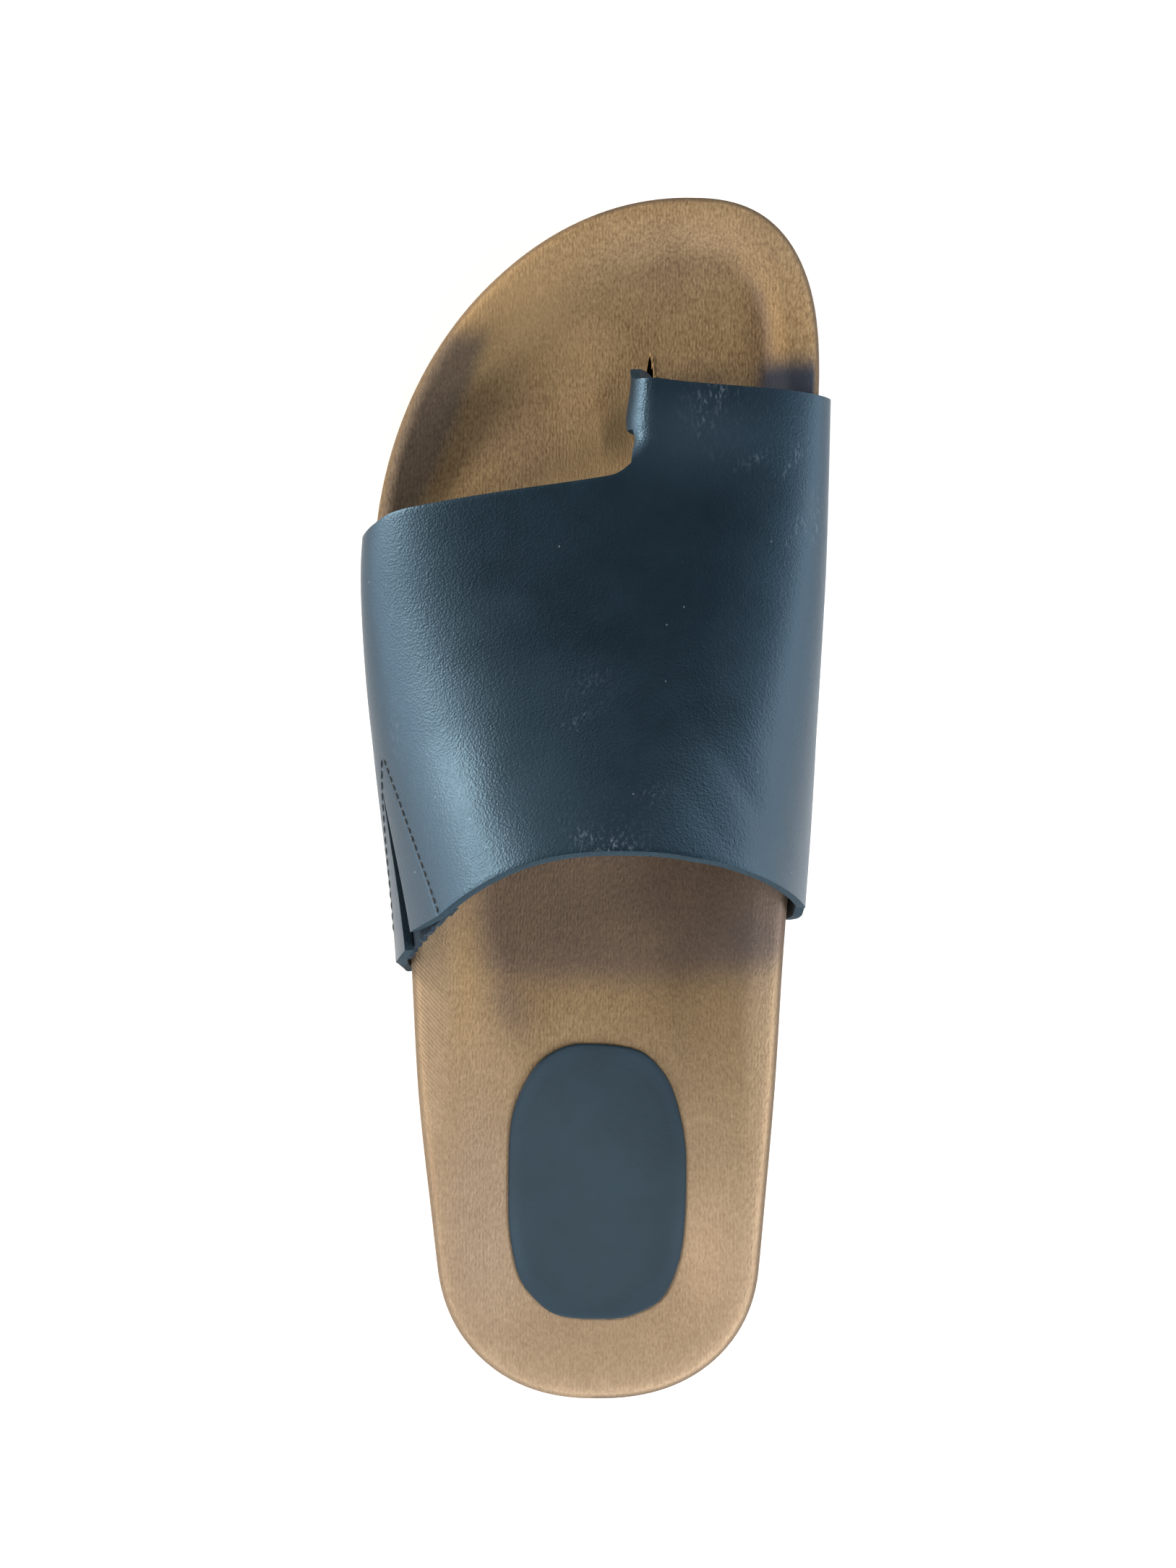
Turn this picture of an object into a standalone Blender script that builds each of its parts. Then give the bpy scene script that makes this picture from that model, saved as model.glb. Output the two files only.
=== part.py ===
"""Toe-loop slide sandal for the left foot: outsole, footbed, leather upper, dart underlay and heel patch.

The sandal stands on the floor with +Z up, its toe at +Y and the big toe's side at +X.
Sizes are in millimetres until a mesh is made. A station is measured along the foot from the back of the
heel, and an offset across it from the centre line, positive on the medial (big toe) side.
"""

import math
from collections import namedtuple

import bmesh
import bpy
from mathutils import Vector

MM = 0.001

# Driving dimensions
LENGTH = 270.0
CENTRE_STATION = LENGTH / 2
GAP = 0.3
OUTSOLE_THICKNESS = 8.0
OUTSOLE_MARGIN = 0.8
TOE_SPRING = 9.0
TOE_SPRING_STATION = 190.0
LEATHER = 2.0
FLANGE_WIDTH = 10.0

# Outline of the footbed: side widths by station, and the rounded ends
Side = namedtuple("Side", "station lateral medial")
SIDES = [
    Side(0, 32.3, 33.8),
    Side(38, 36.7, 37.3),
    Side(70, 40.1, 40.0),
    Side(105, 42.0, 42.1),
    Side(145, 46.3, 45.6),
    Side(185, 50.3, 48.9),
    Side(230, 50.3, 50.3),
]
HEEL_DEPTH = 30.0
HEEL_POWER = 2.3
TOE_TIP_OFFSET = 20.3
TOE_LATERAL_DEPTH = 85.0
TOE_LATERAL_POWER = 2.0
TOE_MEDIAL_DEPTH = 40.0
TOE_MEDIAL_POWER = 2.6

# Footbed: height of the bed, of both rims, and the width of a rim's crest and inner slope
Bed = namedtuple("Bed", "station bed lateral_rim medial_rim crest slope")
BEDS = [
    Bed(0, 25.8, 33.5, 33.5, 3.0, 12.0),
    Bed(40, 25.5, 34.0, 34.5, 4.0, 14.0),
    Bed(85, 26.0, 34.5, 37.0, 7.0, 14.0),
    Bed(115, 27.0, 34.5, 38.0, 7.0, 14.0),
    Bed(150, 26.5, 33.0, 36.0, 6.0, 14.0),
    Bed(190, 23.0, 30.0, 31.0, 5.0, 12.0),
    Bed(225, 23.5, 29.5, 30.0, 5.0, 10.0),
    Bed(250, 25.5, 31.0, 31.0, 5.0, 10.0),
    Bed(270, 28.5, 33.5, 33.5, 4.0, 10.0),
]
RIM_SWAP_HALF_WIDTH = 22.0
EDGE_RADIUS = 3.0
TOE_BAR = {"station": 219.0, "lean": 0.55, "height": 2.4, "half_width": 8.0, "medial_end": 10.0}
METATARSAL_PAD = {"station": 150.0, "offset": -2.0, "height": 2.5, "length": 24.0, "width": 18.0}

# Upper: inner face of the band, as half-ellipses over straight side walls
Arch = namedtuple("Arch", "station crest_offset crest_height spring_height lateral_bulge medial_bulge")
ARCHES = [
    Arch(92, 4.0, 98.0, 40.0, 0.4, 1.4),
    Arch(123, 5.0, 80.5, 39.0, 0.8, 1.2),
    Arch(150, 7.5, 65.5, 37.0, 1.0, 0.6),
    Arch(180, 10.5, 54.5, 35.0, 0.1, 0.0),
    Arch(206, 12.5, 48.5, 34.0, 0.0, 0.0),
    Arch(230, 12.5, 44.5, 33.0, 0.0, 0.0),
]
LATERAL_FULLNESS = 2.0
MEDIAL_FULLNESS = 2.15

# Cut edges of the band as seen from above, and how far they lean at the foot of the side walls
BACK_EDGE = {
    "station": 123.2,
    "offset": 5.0,
    "bow": 0.00158,
    "power": 2.5,
    "lateral_lean": -4.6,
    "medial_lean": -2.0,
}
Cut = namedtuple("Cut", "offset front")
BAND_FRONT = [
    Cut(-51.5, 190.6),
    Cut(-49, 195.6),
    Cut(-44, 198.3),
    Cut(-36, 199.6),
    Cut(-20, 202.0),
    Cut(0, 204.8),
    Cut(4, 205.6),
    Cut(8, 208.4),
    Cut(13, 212.5),
    Cut(53, 206.0),
]
LOOP_FRONT = [Cut(8, 229.4), Cut(12.5, 228.6), Cut(22, 226.8), Cut(45, 225.4), Cut(53, 224.3)]
BAND_FRONT_LEAN = -5.0
LOOP_FRONT_LEAN = -3.0

# Toe tab: the loop's inner edge rolls down into a slit in the footbed
TAB_OFFSET = 12.5
TAB_ROLL_RADIUS = 3.0
TAB_ROLL_TURN = math.radians(104)
TAB_REAR_STATION = 216.0
TAB_FREE_COLUMNS = 2
SLIT_OFFSET = 12.3
SLIT_STATIONS = (212.5, 234.0)
SLIT_CLEARANCE = 0.35
TAB_END_HEIGHT = 10.5

# Dart: a narrow V cut into the lateral back of the band, backed by a thin triangle of leather
DART = {
    "apex_station": 137.0,
    "apex_height": 46.0,
    "back_station": 98.0,
    "back_height": 58.6,
    "back_width": 4.2,
}
UNDERLAY_THICKNESS = 1.2
UNDERLAY_APEX_STATION = 147.0
UNDERLAY_HEIGHTS = (42.0, 72.0)
UNDERLAY_APEX_HEIGHTS = (45.5, 47.5)
UNDERLAY_SHOW = 0.0

# Heel patch
PATCH = {
    "station": 48.7,
    "offset": 0.1,
    "half_width": 19.5,
    "half_length": 31.3,
    "front_power": 2.4,
    "back_power": 2.9,
}
PATCH_THICKNESS = 0.7
PATCH_LIFT = 0.5

# Outsole underside
ARCH_RELIEF = {"start": 84.0, "end": 146.0, "height": 1.6}
HEEL_BEVEL = {"length": 14.0, "height": 1.6}
GROOVE_WIDTH = 3.0
GROOVE_DEPTH = 1.8
GROOVE_ENDS_INSET = 7.0
GROOVE_STATIONS = [22, 35, 48, 61, 74, 156, 169, 182, 195, 208, 221, 234, 247]

# Mesh densities
HEEL_RUNG_TURNS = [8, 17, 27, 37, 47, 57, 68, 79]
MIDDLE_RUNGS = 22
TOE_RUNG_TURNS = [14, 27, 39, 50, 60, 69, 77, 84]
RIM_INSETS = [0, 0.4, 1.3, 3.0, 5.5, 9.0, 13.5, 19.0, 25.0]
BAND_ROWS = 12
LOOP_ROWS = 5
WALL_SHARES = [0.0, 0.5]
LATERAL_COLUMNS = 18
LATERAL_COLUMN_EASE = 1.25
MEDIAL_COLUMNS = 12
TAB_COLUMNS = 9
PATCH_RINGS = [1.0, 0.66, 0.33]
PATCH_SIDES = 40


# Shared curves

def share_between(low, high, value):
    """0 below low, 1 above high, and a smooth step between."""
    share = min(1.0, max(0.0, (value - low) / (high - low)))
    return share * share * (3 - 2 * share)


def along(table, column, station):
    """A column of a table at a value of its first one, as a smooth curve that never overshoots its rows."""
    places = [row[0] for row in table]
    values = [getattr(row, column) for row in table]
    if station <= places[0]:
        return values[0]
    if station >= places[-1]:
        return values[-1]
    rises = [(values[i + 1] - values[i]) / (places[i + 1] - places[i]) for i in range(len(table) - 1)]
    slopes = [rises[0]]
    for before, after in zip(rises, rises[1:]):
        slopes.append(0.0 if before * after <= 0 else 2 * before * after / (before + after))
    slopes.append(rises[-1])
    i = max(k for k in range(len(table) - 1) if places[k] <= station)
    span = places[i + 1] - places[i]
    t = (station - places[i]) / span
    return (
        values[i] * (1 + 2 * t) * (1 - t) ** 2
        + slopes[i] * span * t * (1 - t) ** 2
        + values[i + 1] * t * t * (3 - 2 * t)
        + slopes[i + 1] * span * t * t * (t - 1)
    )


def round_end(share, power):
    """Half-width of a superellipse, as a share, at a share of the way to its end."""
    return (1 - min(1.0, max(0.0, share)) ** power) ** (1 / power)


def heel_share(station):
    return round_end((HEEL_DEPTH - station) / HEEL_DEPTH, HEEL_POWER)


def lateral_edge(station):
    """Offset of the footbed's lateral edge."""
    start = LENGTH - TOE_LATERAL_DEPTH
    if station <= start:
        return -along(SIDES, "lateral", station) * heel_share(station)
    reach = along(SIDES, "lateral", start) + TOE_TIP_OFFSET
    return TOE_TIP_OFFSET - reach * round_end((station - start) / TOE_LATERAL_DEPTH, TOE_LATERAL_POWER)


def medial_edge(station):
    """Offset of the footbed's medial edge."""
    start = LENGTH - TOE_MEDIAL_DEPTH
    if station <= start:
        return along(SIDES, "medial", station) * heel_share(station)
    reach = along(SIDES, "medial", start) - TOE_TIP_OFFSET
    return TOE_TIP_OFFSET + reach * round_end((station - start) / TOE_MEDIAL_DEPTH, TOE_MEDIAL_POWER)


def spring_lift(station):
    """Lift of the sole's front, the toe spring."""
    return TOE_SPRING * max(0.0, (station - TOE_SPRING_STATION) / (LENGTH - TOE_SPRING_STATION)) ** 2


def outsole_top(station):
    return OUTSOLE_THICKNESS + spring_lift(station)


def outsole_bottom(station):
    """Underside of the outsole: flat under heel and ball, relieved at the arch and bevelled at the heel."""
    middle = (ARCH_RELIEF["start"] + ARCH_RELIEF["end"]) / 2
    if station < middle:
        relief = share_between(ARCH_RELIEF["start"], middle, station)
    else:
        relief = 1 - share_between(middle, ARCH_RELIEF["end"], station)
    heel = max(0.0, 1 - station / HEEL_BEVEL["length"]) ** 2
    return spring_lift(station) + ARCH_RELIEF["height"] * relief + HEEL_BEVEL["height"] * heel


# Ladder of cross rungs from heel to toe, close together at the rounded ends

def ladder_stations():
    toe_start = LENGTH - TOE_MEDIAL_DEPTH
    heel = [HEEL_DEPTH * (1 - math.cos(math.radians(turn))) for turn in HEEL_RUNG_TURNS]
    middle = [HEEL_DEPTH + (toe_start - HEEL_DEPTH) * k / MIDDLE_RUNGS for k in range(MIDDLE_RUNGS + 1)]
    toe = [toe_start + TOE_MEDIAL_DEPTH * math.sin(math.radians(turn)) for turn in TOE_RUNG_TURNS]
    return heel + middle + toe


STATIONS = ladder_stations()


def outline_loop(margin=0.0):
    """The footbed's outline from the heel's back round the medial side, pushed out by a margin."""
    heel_offset = (medial_edge(STATIONS[0]) + lateral_edge(STATIONS[0])) / 2
    loop = [Vector((heel_offset, 0.0))]
    loop += [Vector((medial_edge(s), s)) for s in STATIONS]
    loop += [Vector((TOE_TIP_OFFSET, LENGTH))]
    loop += [Vector((lateral_edge(s), s)) for s in reversed(STATIONS)]
    pushed = []
    for i, point in enumerate(loop):
        tangent = loop[(i + 1) % len(loop)] - loop[i - 1]
        outward = Vector((tangent.y, -tangent.x)).normalized()
        pushed.append(point + outward * margin)
    return pushed


OUTLINE = outline_loop()


def inset_of(offset, station):
    """Distance from the footbed's outline, measured inwards."""
    point = Vector((offset, station))
    nearest = math.inf
    for i, start in enumerate(OUTLINE):
        run = OUTLINE[(i + 1) % len(OUTLINE)] - start
        share = min(1.0, max(0.0, (point - start).dot(run) / run.length_squared))
        nearest = min(nearest, (start + run * share - point).length)
    return nearest


def footbed_top(offset, station):
    """Height of the footbed's upper face: bed, rims, toe bar, metatarsal pad and rounded edge."""
    inset = inset_of(offset, station)
    medial = share_between(-RIM_SWAP_HALF_WIDTH, RIM_SWAP_HALF_WIDTH, offset)
    lateral_rim = along(BEDS, "lateral_rim", station)
    rim = lateral_rim + (along(BEDS, "medial_rim", station) - lateral_rim) * medial
    crest = along(BEDS, "crest", station)
    fall = share_between(crest, crest + along(BEDS, "slope", station), inset)
    height = rim + (along(BEDS, "bed", station) - rim) * fall

    bar_line = TOE_BAR["station"] + TOE_BAR["lean"] * min(offset, 0.0)
    bar = math.exp(-(((station - bar_line) / TOE_BAR["half_width"]) ** 2))
    bar *= 1 - share_between(0.0, TOE_BAR["medial_end"], offset)
    along_pad = (station - METATARSAL_PAD["station"]) / METATARSAL_PAD["length"]
    across_pad = (offset - METATARSAL_PAD["offset"]) / METATARSAL_PAD["width"]
    pad = math.exp(-(along_pad**2) - across_pad**2)
    height += fall * (TOE_BAR["height"] * bar + METATARSAL_PAD["height"] * pad)

    short = max(0.0, EDGE_RADIUS - inset)
    return height - EDGE_RADIUS + math.sqrt(EDGE_RADIUS**2 - short**2)


# Inner face of the upper

def shelf_height(station):
    """Upper face of the lasting margin, which is turned in between footbed and outsole."""
    return outsole_top(station) + GAP + LEATHER


def arch_point(angle, station):
    """Point of the arch over the foot: angle 0 is the crest, -90 degrees the lateral wall, 90 the medial."""
    crest_offset = along(ARCHES, "crest_offset", station)
    spring = along(ARCHES, "spring_height", station)
    rise = along(ARCHES, "crest_height", station) - spring
    if angle < 0:
        reach = lateral_edge(station) - GAP - along(ARCHES, "lateral_bulge", station) - crest_offset
        power = 2 / LATERAL_FULLNESS
    else:
        reach = medial_edge(station) + GAP + along(ARCHES, "medial_bulge", station) - crest_offset
        power = 2 / MEDIAL_FULLNESS
    across = abs(math.sin(angle)) ** power
    return Vector((crest_offset + reach * across, station, spring + rise * abs(math.cos(angle)) ** power))


def tab_angle(station):
    """Angle of the column where the toe tab leaves the loop, at a fixed offset."""
    low, high = math.radians(-60), math.radians(60)
    for _ in range(40):
        middle = (low + high) / 2
        if arch_point(middle, station).x < TAB_OFFSET:
            low = middle
        else:
            high = middle
    return (low + high) / 2


Column = namedtuple("Column", "kind value")


def upper_columns():
    """Columns of the upper's sheet, from the lateral lasting margin over the foot to the medial one."""
    lateral = [Column("lateral_flange", 1.0)]
    lateral += [Column("lateral_wall", share) for share in WALL_SHARES]
    for k in range(LATERAL_COLUMNS):
        lateral.append(Column("lateral_arch", 1 - (1 - k / LATERAL_COLUMNS) ** LATERAL_COLUMN_EASE))
    medial = [Column("medial_arch", k / MEDIAL_COLUMNS) for k in range(MEDIAL_COLUMNS + 1)]
    medial += [Column("medial_wall", share) for share in reversed(WALL_SHARES)]
    return lateral + medial + [Column("medial_flange", 1.0)]


COLUMNS = upper_columns()
TAB_COLUMN = COLUMNS.index(Column("medial_arch", 0.0))


def column_point(column, station):
    """Where a column of the sheet crosses a station."""
    if column.kind.endswith("arch"):
        start = tab_angle(station)
        end = math.radians(-90 if column.kind == "lateral_arch" else 90)
        share = 1 - column.value if column.kind == "lateral_arch" else column.value
        return arch_point(start + (end - start) * share, station)
    shelf = shelf_height(station)
    if column.kind.startswith("lateral"):
        wall, inwards = lateral_edge(station) - GAP, 1
    else:
        wall, inwards = medial_edge(station) + GAP, -1
    if column.kind.endswith("flange"):
        return Vector((wall + inwards * FLANGE_WIDTH * column.value, station, shelf))
    side = column.kind.split("_")[0]
    wall -= inwards * along(ARCHES, side + "_bulge", station) * column.value
    spring = along(ARCHES, "spring_height", station)
    return Vector((wall, station, shelf + (spring - shelf) * column.value))


def wall_depth(column):
    """How far down its side wall a column lies: 0 at the arch, 1 at the outsole."""
    if column.kind.endswith("arch"):
        return 0.0
    return 1.0 if column.kind.endswith("flange") else 1 - column.value


def back_station(column, offset):
    lean = BACK_EDGE["lateral_lean"] if column.kind.startswith("lateral") else BACK_EDGE["medial_lean"]
    bow = BACK_EDGE["bow"] * abs(offset - BACK_EDGE["offset"]) ** BACK_EDGE["power"]
    return BACK_EDGE["station"] - bow + lean * wall_depth(column)


def band_front_station(column, offset):
    return along(BAND_FRONT, "front", offset) + BAND_FRONT_LEAN * wall_depth(column)


def loop_front_station(column, offset):
    return along(LOOP_FRONT, "front", offset) + LOOP_FRONT_LEAN * wall_depth(column)


def edge_on_column(column, edge, guess):
    """Station where a cut edge, given by offset, crosses a column."""
    station = guess
    for _ in range(12):
        station = edge(column, column_point(column, station).x)
    return station


def tab_point(column_step, station):
    """Point of the toe tab, some columns down from the loop: roll, slanted drop, then into the slit."""
    top = arch_point(tab_angle(station), station)
    centre = Vector((top.x, station, top.z - TAB_ROLL_RADIUS))
    roll_columns = TAB_COLUMNS - 5
    if column_step <= roll_columns:
        turn = TAB_ROLL_TURN * column_step / roll_columns
        return centre + TAB_ROLL_RADIUS * Vector((-math.sin(turn), 0.0, math.cos(turn)))
    roll_end = tab_point(roll_columns, station)
    entry = Vector((SLIT_OFFSET + LEATHER / 2, station, footbed_top(SLIT_OFFSET, station) + GAP))
    drop_columns = TAB_COLUMNS - 2
    if column_step <= drop_columns:
        return roll_end.lerp(entry, (column_step - roll_columns) / (drop_columns - roll_columns))
    end = Vector((entry.x, station, TAB_END_HEIGHT))
    return entry.lerp(end, (column_step - drop_columns) / (TAB_COLUMNS - drop_columns))


# Mesh helpers

def row_frame(point):
    """From offset, station and height in millimetres to the part's frame in metres."""
    return Vector((point[0], point[1] - CENTRE_STATION, point[2])) * MM


def material(name, colour, roughness):
    made = bpy.data.materials.new(name)
    made.use_nodes = True
    shader = made.node_tree.nodes["Principled BSDF"]
    shader.inputs["Base Color"].default_value = (*colour, 1.0)
    shader.inputs["Roughness"].default_value = roughness
    shader.inputs["Metallic"].default_value = 0.0
    return made


def finish_object(name, mesh_builder, finish=None):
    """One named object from a bmesh, with its faces pointing out and smooth shading."""
    bmesh.ops.recalc_face_normals(mesh_builder, faces=mesh_builder.faces)
    mesh = bpy.data.meshes.new(name)
    mesh_builder.to_mesh(mesh)
    mesh_builder.free()
    mesh.shade_smooth()
    made = bpy.data.objects.new(name, mesh)
    bpy.context.scene.collection.objects.link(made)
    if finish is not None:
        mesh.materials.append(finish)
        mesh.set_sharp_from_angle(angle=math.radians(40))
        made.parent = sandal
    return made


def hide_cutter(cutter):
    cutter.hide_render = True
    cutter.display_type = "WIRE"
    cutter.parent = sandal


def cut_away(target, cutter):
    hide_cutter(cutter)
    cut = target.modifiers.new("cut_" + cutter.name, "BOOLEAN")
    cut.operation = "DIFFERENCE"
    cut.object = cutter


def skin_loops(mesh_builder, loops):
    """Closed loops of points joined side by side with quads. Returns the loops' vertices."""
    rings = [[mesh_builder.verts.new(row_frame(point)) for point in loop] for loop in loops]
    for ring, following in zip(rings, rings[1:]):
        for i in range(len(ring)):
            j = (i + 1) % len(ring)
            mesh_builder.faces.new((ring[i], ring[j], following[j], following[i]))
    return rings


def fill_ladder(mesh_builder, ring, height, insets):
    """Closes an outline loop with rungs from side to side, each rung following a height function."""
    count = len(STATIONS)
    heel, toe = ring[0], ring[count + 1]
    medial, lateral = ring[1 : count + 1], list(reversed(ring[count + 2 :]))
    rungs = []
    for left, right in zip(lateral, medial):
        start, end = left.co / MM, right.co / MM
        half = (end.x - start.x) / 2
        steps = [inset * min(1.0, half / (insets[-1] * 1.2)) for inset in insets[1:]]
        offsets = [start.x + step for step in steps] + [(start.x + end.x) / 2]
        offsets += [end.x - step for step in reversed(steps)]
        station = start.y + CENTRE_STATION
        inner = [mesh_builder.verts.new(row_frame((o, station, height(o, station)))) for o in offsets]
        rungs.append([left] + inner + [right])
    for rung, following in zip(rungs, rungs[1:]):
        for i in range(len(rung) - 1):
            mesh_builder.faces.new((rung[i], rung[i + 1], following[i + 1], following[i]))
    for tip, rung in ((heel, rungs[0]), (toe, rungs[-1])):
        for i in range(len(rung) - 1):
            mesh_builder.faces.new((tip, rung[i], rung[i + 1]))


# Pieces

def build_outsole():
    """Flat sole with toe spring; its cross grooves are cut from below."""
    outline = outline_loop(OUTSOLE_MARGIN)
    foot = outline_loop(OUTSOLE_MARGIN - 0.7)
    builder = bmesh.new()
    loops = [
        [(p.x, p.y, outsole_bottom(p.y)) for p in foot],
        [(p.x, p.y, outsole_bottom(p.y) + 0.7) for p in outline],
        [(p.x, p.y, outsole_top(p.y)) for p in outline],
    ]
    rings = skin_loops(builder, loops)
    middle_only = [0, 20.0]
    fill_ladder(builder, rings[0], lambda offset, station: outsole_bottom(station), middle_only)
    fill_ladder(builder, rings[-1], lambda offset, station: outsole_top(station), middle_only)
    outsole = finish_object("outsole", builder, rubber)
    cut_away(outsole, groove_cutter())
    return outsole


def groove_cutter():
    """Bars across the sole that leave grooves of one depth, clear of the sole's edge."""
    builder = bmesh.new()
    for station in GROOVE_STATIONS:
        low = outsole_bottom(station) - 2 * GROOVE_DEPTH
        high = outsole_bottom(station) + GROOVE_DEPTH
        start = lateral_edge(station) + GROOVE_ENDS_INSET
        end = medial_edge(station) - GROOVE_ENDS_INSET
        bar = bmesh.ops.create_cube(builder, size=1.0)["verts"]
        for vertex in bar:
            offset = start if vertex.co.x < 0 else end
            along_foot = station + GROOVE_WIDTH * vertex.co.y
            vertex.co = row_frame((offset, along_foot, low if vertex.co.z < 0 else high))
    return finish_object("groove_cutter", builder)


def build_footbed():
    """Contoured footbed with a rounded wrapped edge, slit for the tab and rebated for the lasting margins."""
    builder = bmesh.new()
    loops = [
        [(p.x, p.y, outsole_top(p.y) + GAP) for p in OUTLINE],
        [(p.x, p.y, footbed_top(p.x, p.y)) for p in OUTLINE],
    ]
    rings = skin_loops(builder, loops)
    fill_ladder(builder, rings[0], lambda offset, station: outsole_top(station) + GAP, [0, 20.0])
    fill_ladder(builder, rings[1], footbed_top, RIM_INSETS)
    footbed = finish_object("footbed", builder, microfibre)
    cut_away(footbed, rebate_cutter("lateral", lateral_edge, 1))
    cut_away(footbed, rebate_cutter("medial", medial_edge, -1))
    cut_away(footbed, slit_cutter())
    return footbed


def rebate_cutter(side, edge, inwards):
    """Prism under one edge of the footbed that makes room for the upper's lasting margin."""
    margin = (Column(side + "_flange", 1.0), Column(side + "_wall", 0.0))
    front = band_front_station if side == "lateral" else loop_front_station
    start = min(edge_on_column(column, back_station, BACK_EDGE["station"]) for column in margin) - 1.0
    end = max(edge_on_column(column, front, TOE_SPRING_STATION) for column in margin) + 1.0
    pieces = 14
    builder = bmesh.new()
    loops = []
    for k in range(pieces + 1):
        station = start + (end - start) * k / pieces
        outside = edge(station) - inwards * 3.0
        inside = edge(station) + inwards * (FLANGE_WIDTH + 1.0)
        low = outsole_top(station) - 1.0
        high = shelf_height(station) + GAP
        corners = ((outside, low), (inside, low), (inside, high), (outside, high))
        loops.append([(offset, station, height) for offset, height in corners])
    rings = skin_loops(builder, loops)
    builder.faces.new(rings[0])
    builder.faces.new(rings[-1])
    return finish_object("rebate_" + side, builder)


def slit_cutter():
    """Upright blade between big toe and second toe, through the whole footbed."""
    half = LEATHER / 2 + SLIT_CLEARANCE
    builder = bmesh.new()
    for vertex in bmesh.ops.create_cube(builder, size=1.0)["verts"]:
        offset = SLIT_OFFSET + math.copysign(half, vertex.co.x)
        station = SLIT_STATIONS[0 if vertex.co.y < 0 else 1]
        vertex.co = row_frame((offset, station, 2.0 if vertex.co.z < 0 else 60.0))
    return finish_object("slit_cutter", builder)


def upper_grid():
    """Points of the upper's inner face. Rows past the band's front hold the toe loop and its tab."""
    band_fronts = []
    rows = [[] for _ in range(BAND_ROWS + 1)]
    for column in COLUMNS:
        back = edge_on_column(column, back_station, BACK_EDGE["station"])
        front = edge_on_column(column, band_front_station, TOE_SPRING_STATION)
        band_fronts.append(front)
        for k, row in enumerate(rows):
            row.append(column_point(column, back + (front - back) * k / BAND_ROWS))
    loop_fronts = [
        edge_on_column(column, loop_front_station, TAB_REAR_STATION) if i >= TAB_COLUMN else None
        for i, column in enumerate(COLUMNS)
    ]
    for k in range(1, LOOP_ROWS + 1):
        row = [None] * len(COLUMNS)
        tab_share = (k - 1) / (LOOP_ROWS - 1)
        for i in range(TAB_COLUMN, len(COLUMNS)):
            rear = TAB_REAR_STATION + (band_fronts[i] - band_fronts[TAB_COLUMN]) * 0.5
            station = rear + (loop_fronts[i] - rear) * tab_share
            row[i] = column_point(COLUMNS[i], station)
        for step in range(1, TAB_COLUMNS + 1):
            row[TAB_COLUMN - step] = tab_point(step, row[TAB_COLUMN].y)
        rows.append(row)
    return rows


def build_upper():
    """One hollow leather band with its toe loop, thickened outwards from its inner face, with a dart."""
    grid = upper_grid()
    builder = bmesh.new()
    verts = [[builder.verts.new(row_frame(point)) if point else None for point in row] for row in grid]
    for k, (row, following) in enumerate(zip(verts, verts[1:])):
        for i in range(len(COLUMNS) - 1):
            corners = (row[i], row[i + 1], following[i + 1], following[i])
            bridges_notch = k == BAND_ROWS and i < TAB_COLUMN - TAB_FREE_COLUMNS
            if None not in corners and not bridges_notch:
                builder.faces.new(corners)
    upper = finish_object("upper", builder, leather)
    point_faces_outwards(upper)
    wall = upper.modifiers.new("wall", "SOLIDIFY")
    wall.thickness = LEATHER * MM
    wall.offset = 1.0
    wall.use_even_offset = True
    cut_away(upper, dart_cutter())
    return upper


def point_faces_outwards(sheet):
    """Turns an open sheet so that the faces at its crest look up, away from the foot."""
    crest = max(sheet.data.polygons, key=lambda face: face.center.z)
    if crest.normal.z < 0:
        sheet.data.flip_normals()


def wall_offset_at(station, height):
    """Offset of the lateral inner face at a height on the arch."""
    spring = along(ARCHES, "spring_height", station)
    rise = along(ARCHES, "crest_height", station) - spring
    share = min(1.0, max(0.0, (height - spring) / rise))
    angle = -math.acos(share ** (LATERAL_FULLNESS / 2))
    return arch_point(angle, station).x


def back_station_at(height):
    """Station of the band's back edge at a height on its lateral side."""
    station = BACK_EDGE["station"]
    for _ in range(20):
        station = back_station(Column("lateral_arch", 0.0), wall_offset_at(station, height))
    return station


def dart_cutter():
    """Wedge through the band's lateral wall, pointed at the apex and open past the back edge."""
    apex = Vector((0.0, DART["apex_station"], DART["apex_height"]))
    back = Vector((0.0, DART["back_station"], DART["back_height"]))
    apex.x = wall_offset_at(apex.y, apex.z)
    back.x = wall_offset_at(back.y, back.z)
    through = Vector((-1.0, 0.0, 0.35)).normalized()
    across = through.cross(back - apex).normalized() * DART["back_width"] / 2
    builder = bmesh.new()
    loops = []
    for depth in (-5.0, 9.0):
        shift = through * depth
        loops.append([apex + shift, back + across + shift, back - across + shift])
    rings = skin_loops(builder, loops)
    builder.faces.new(rings[0])
    builder.faces.new(rings[1])
    return finish_object("dart_cutter", builder)


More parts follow.
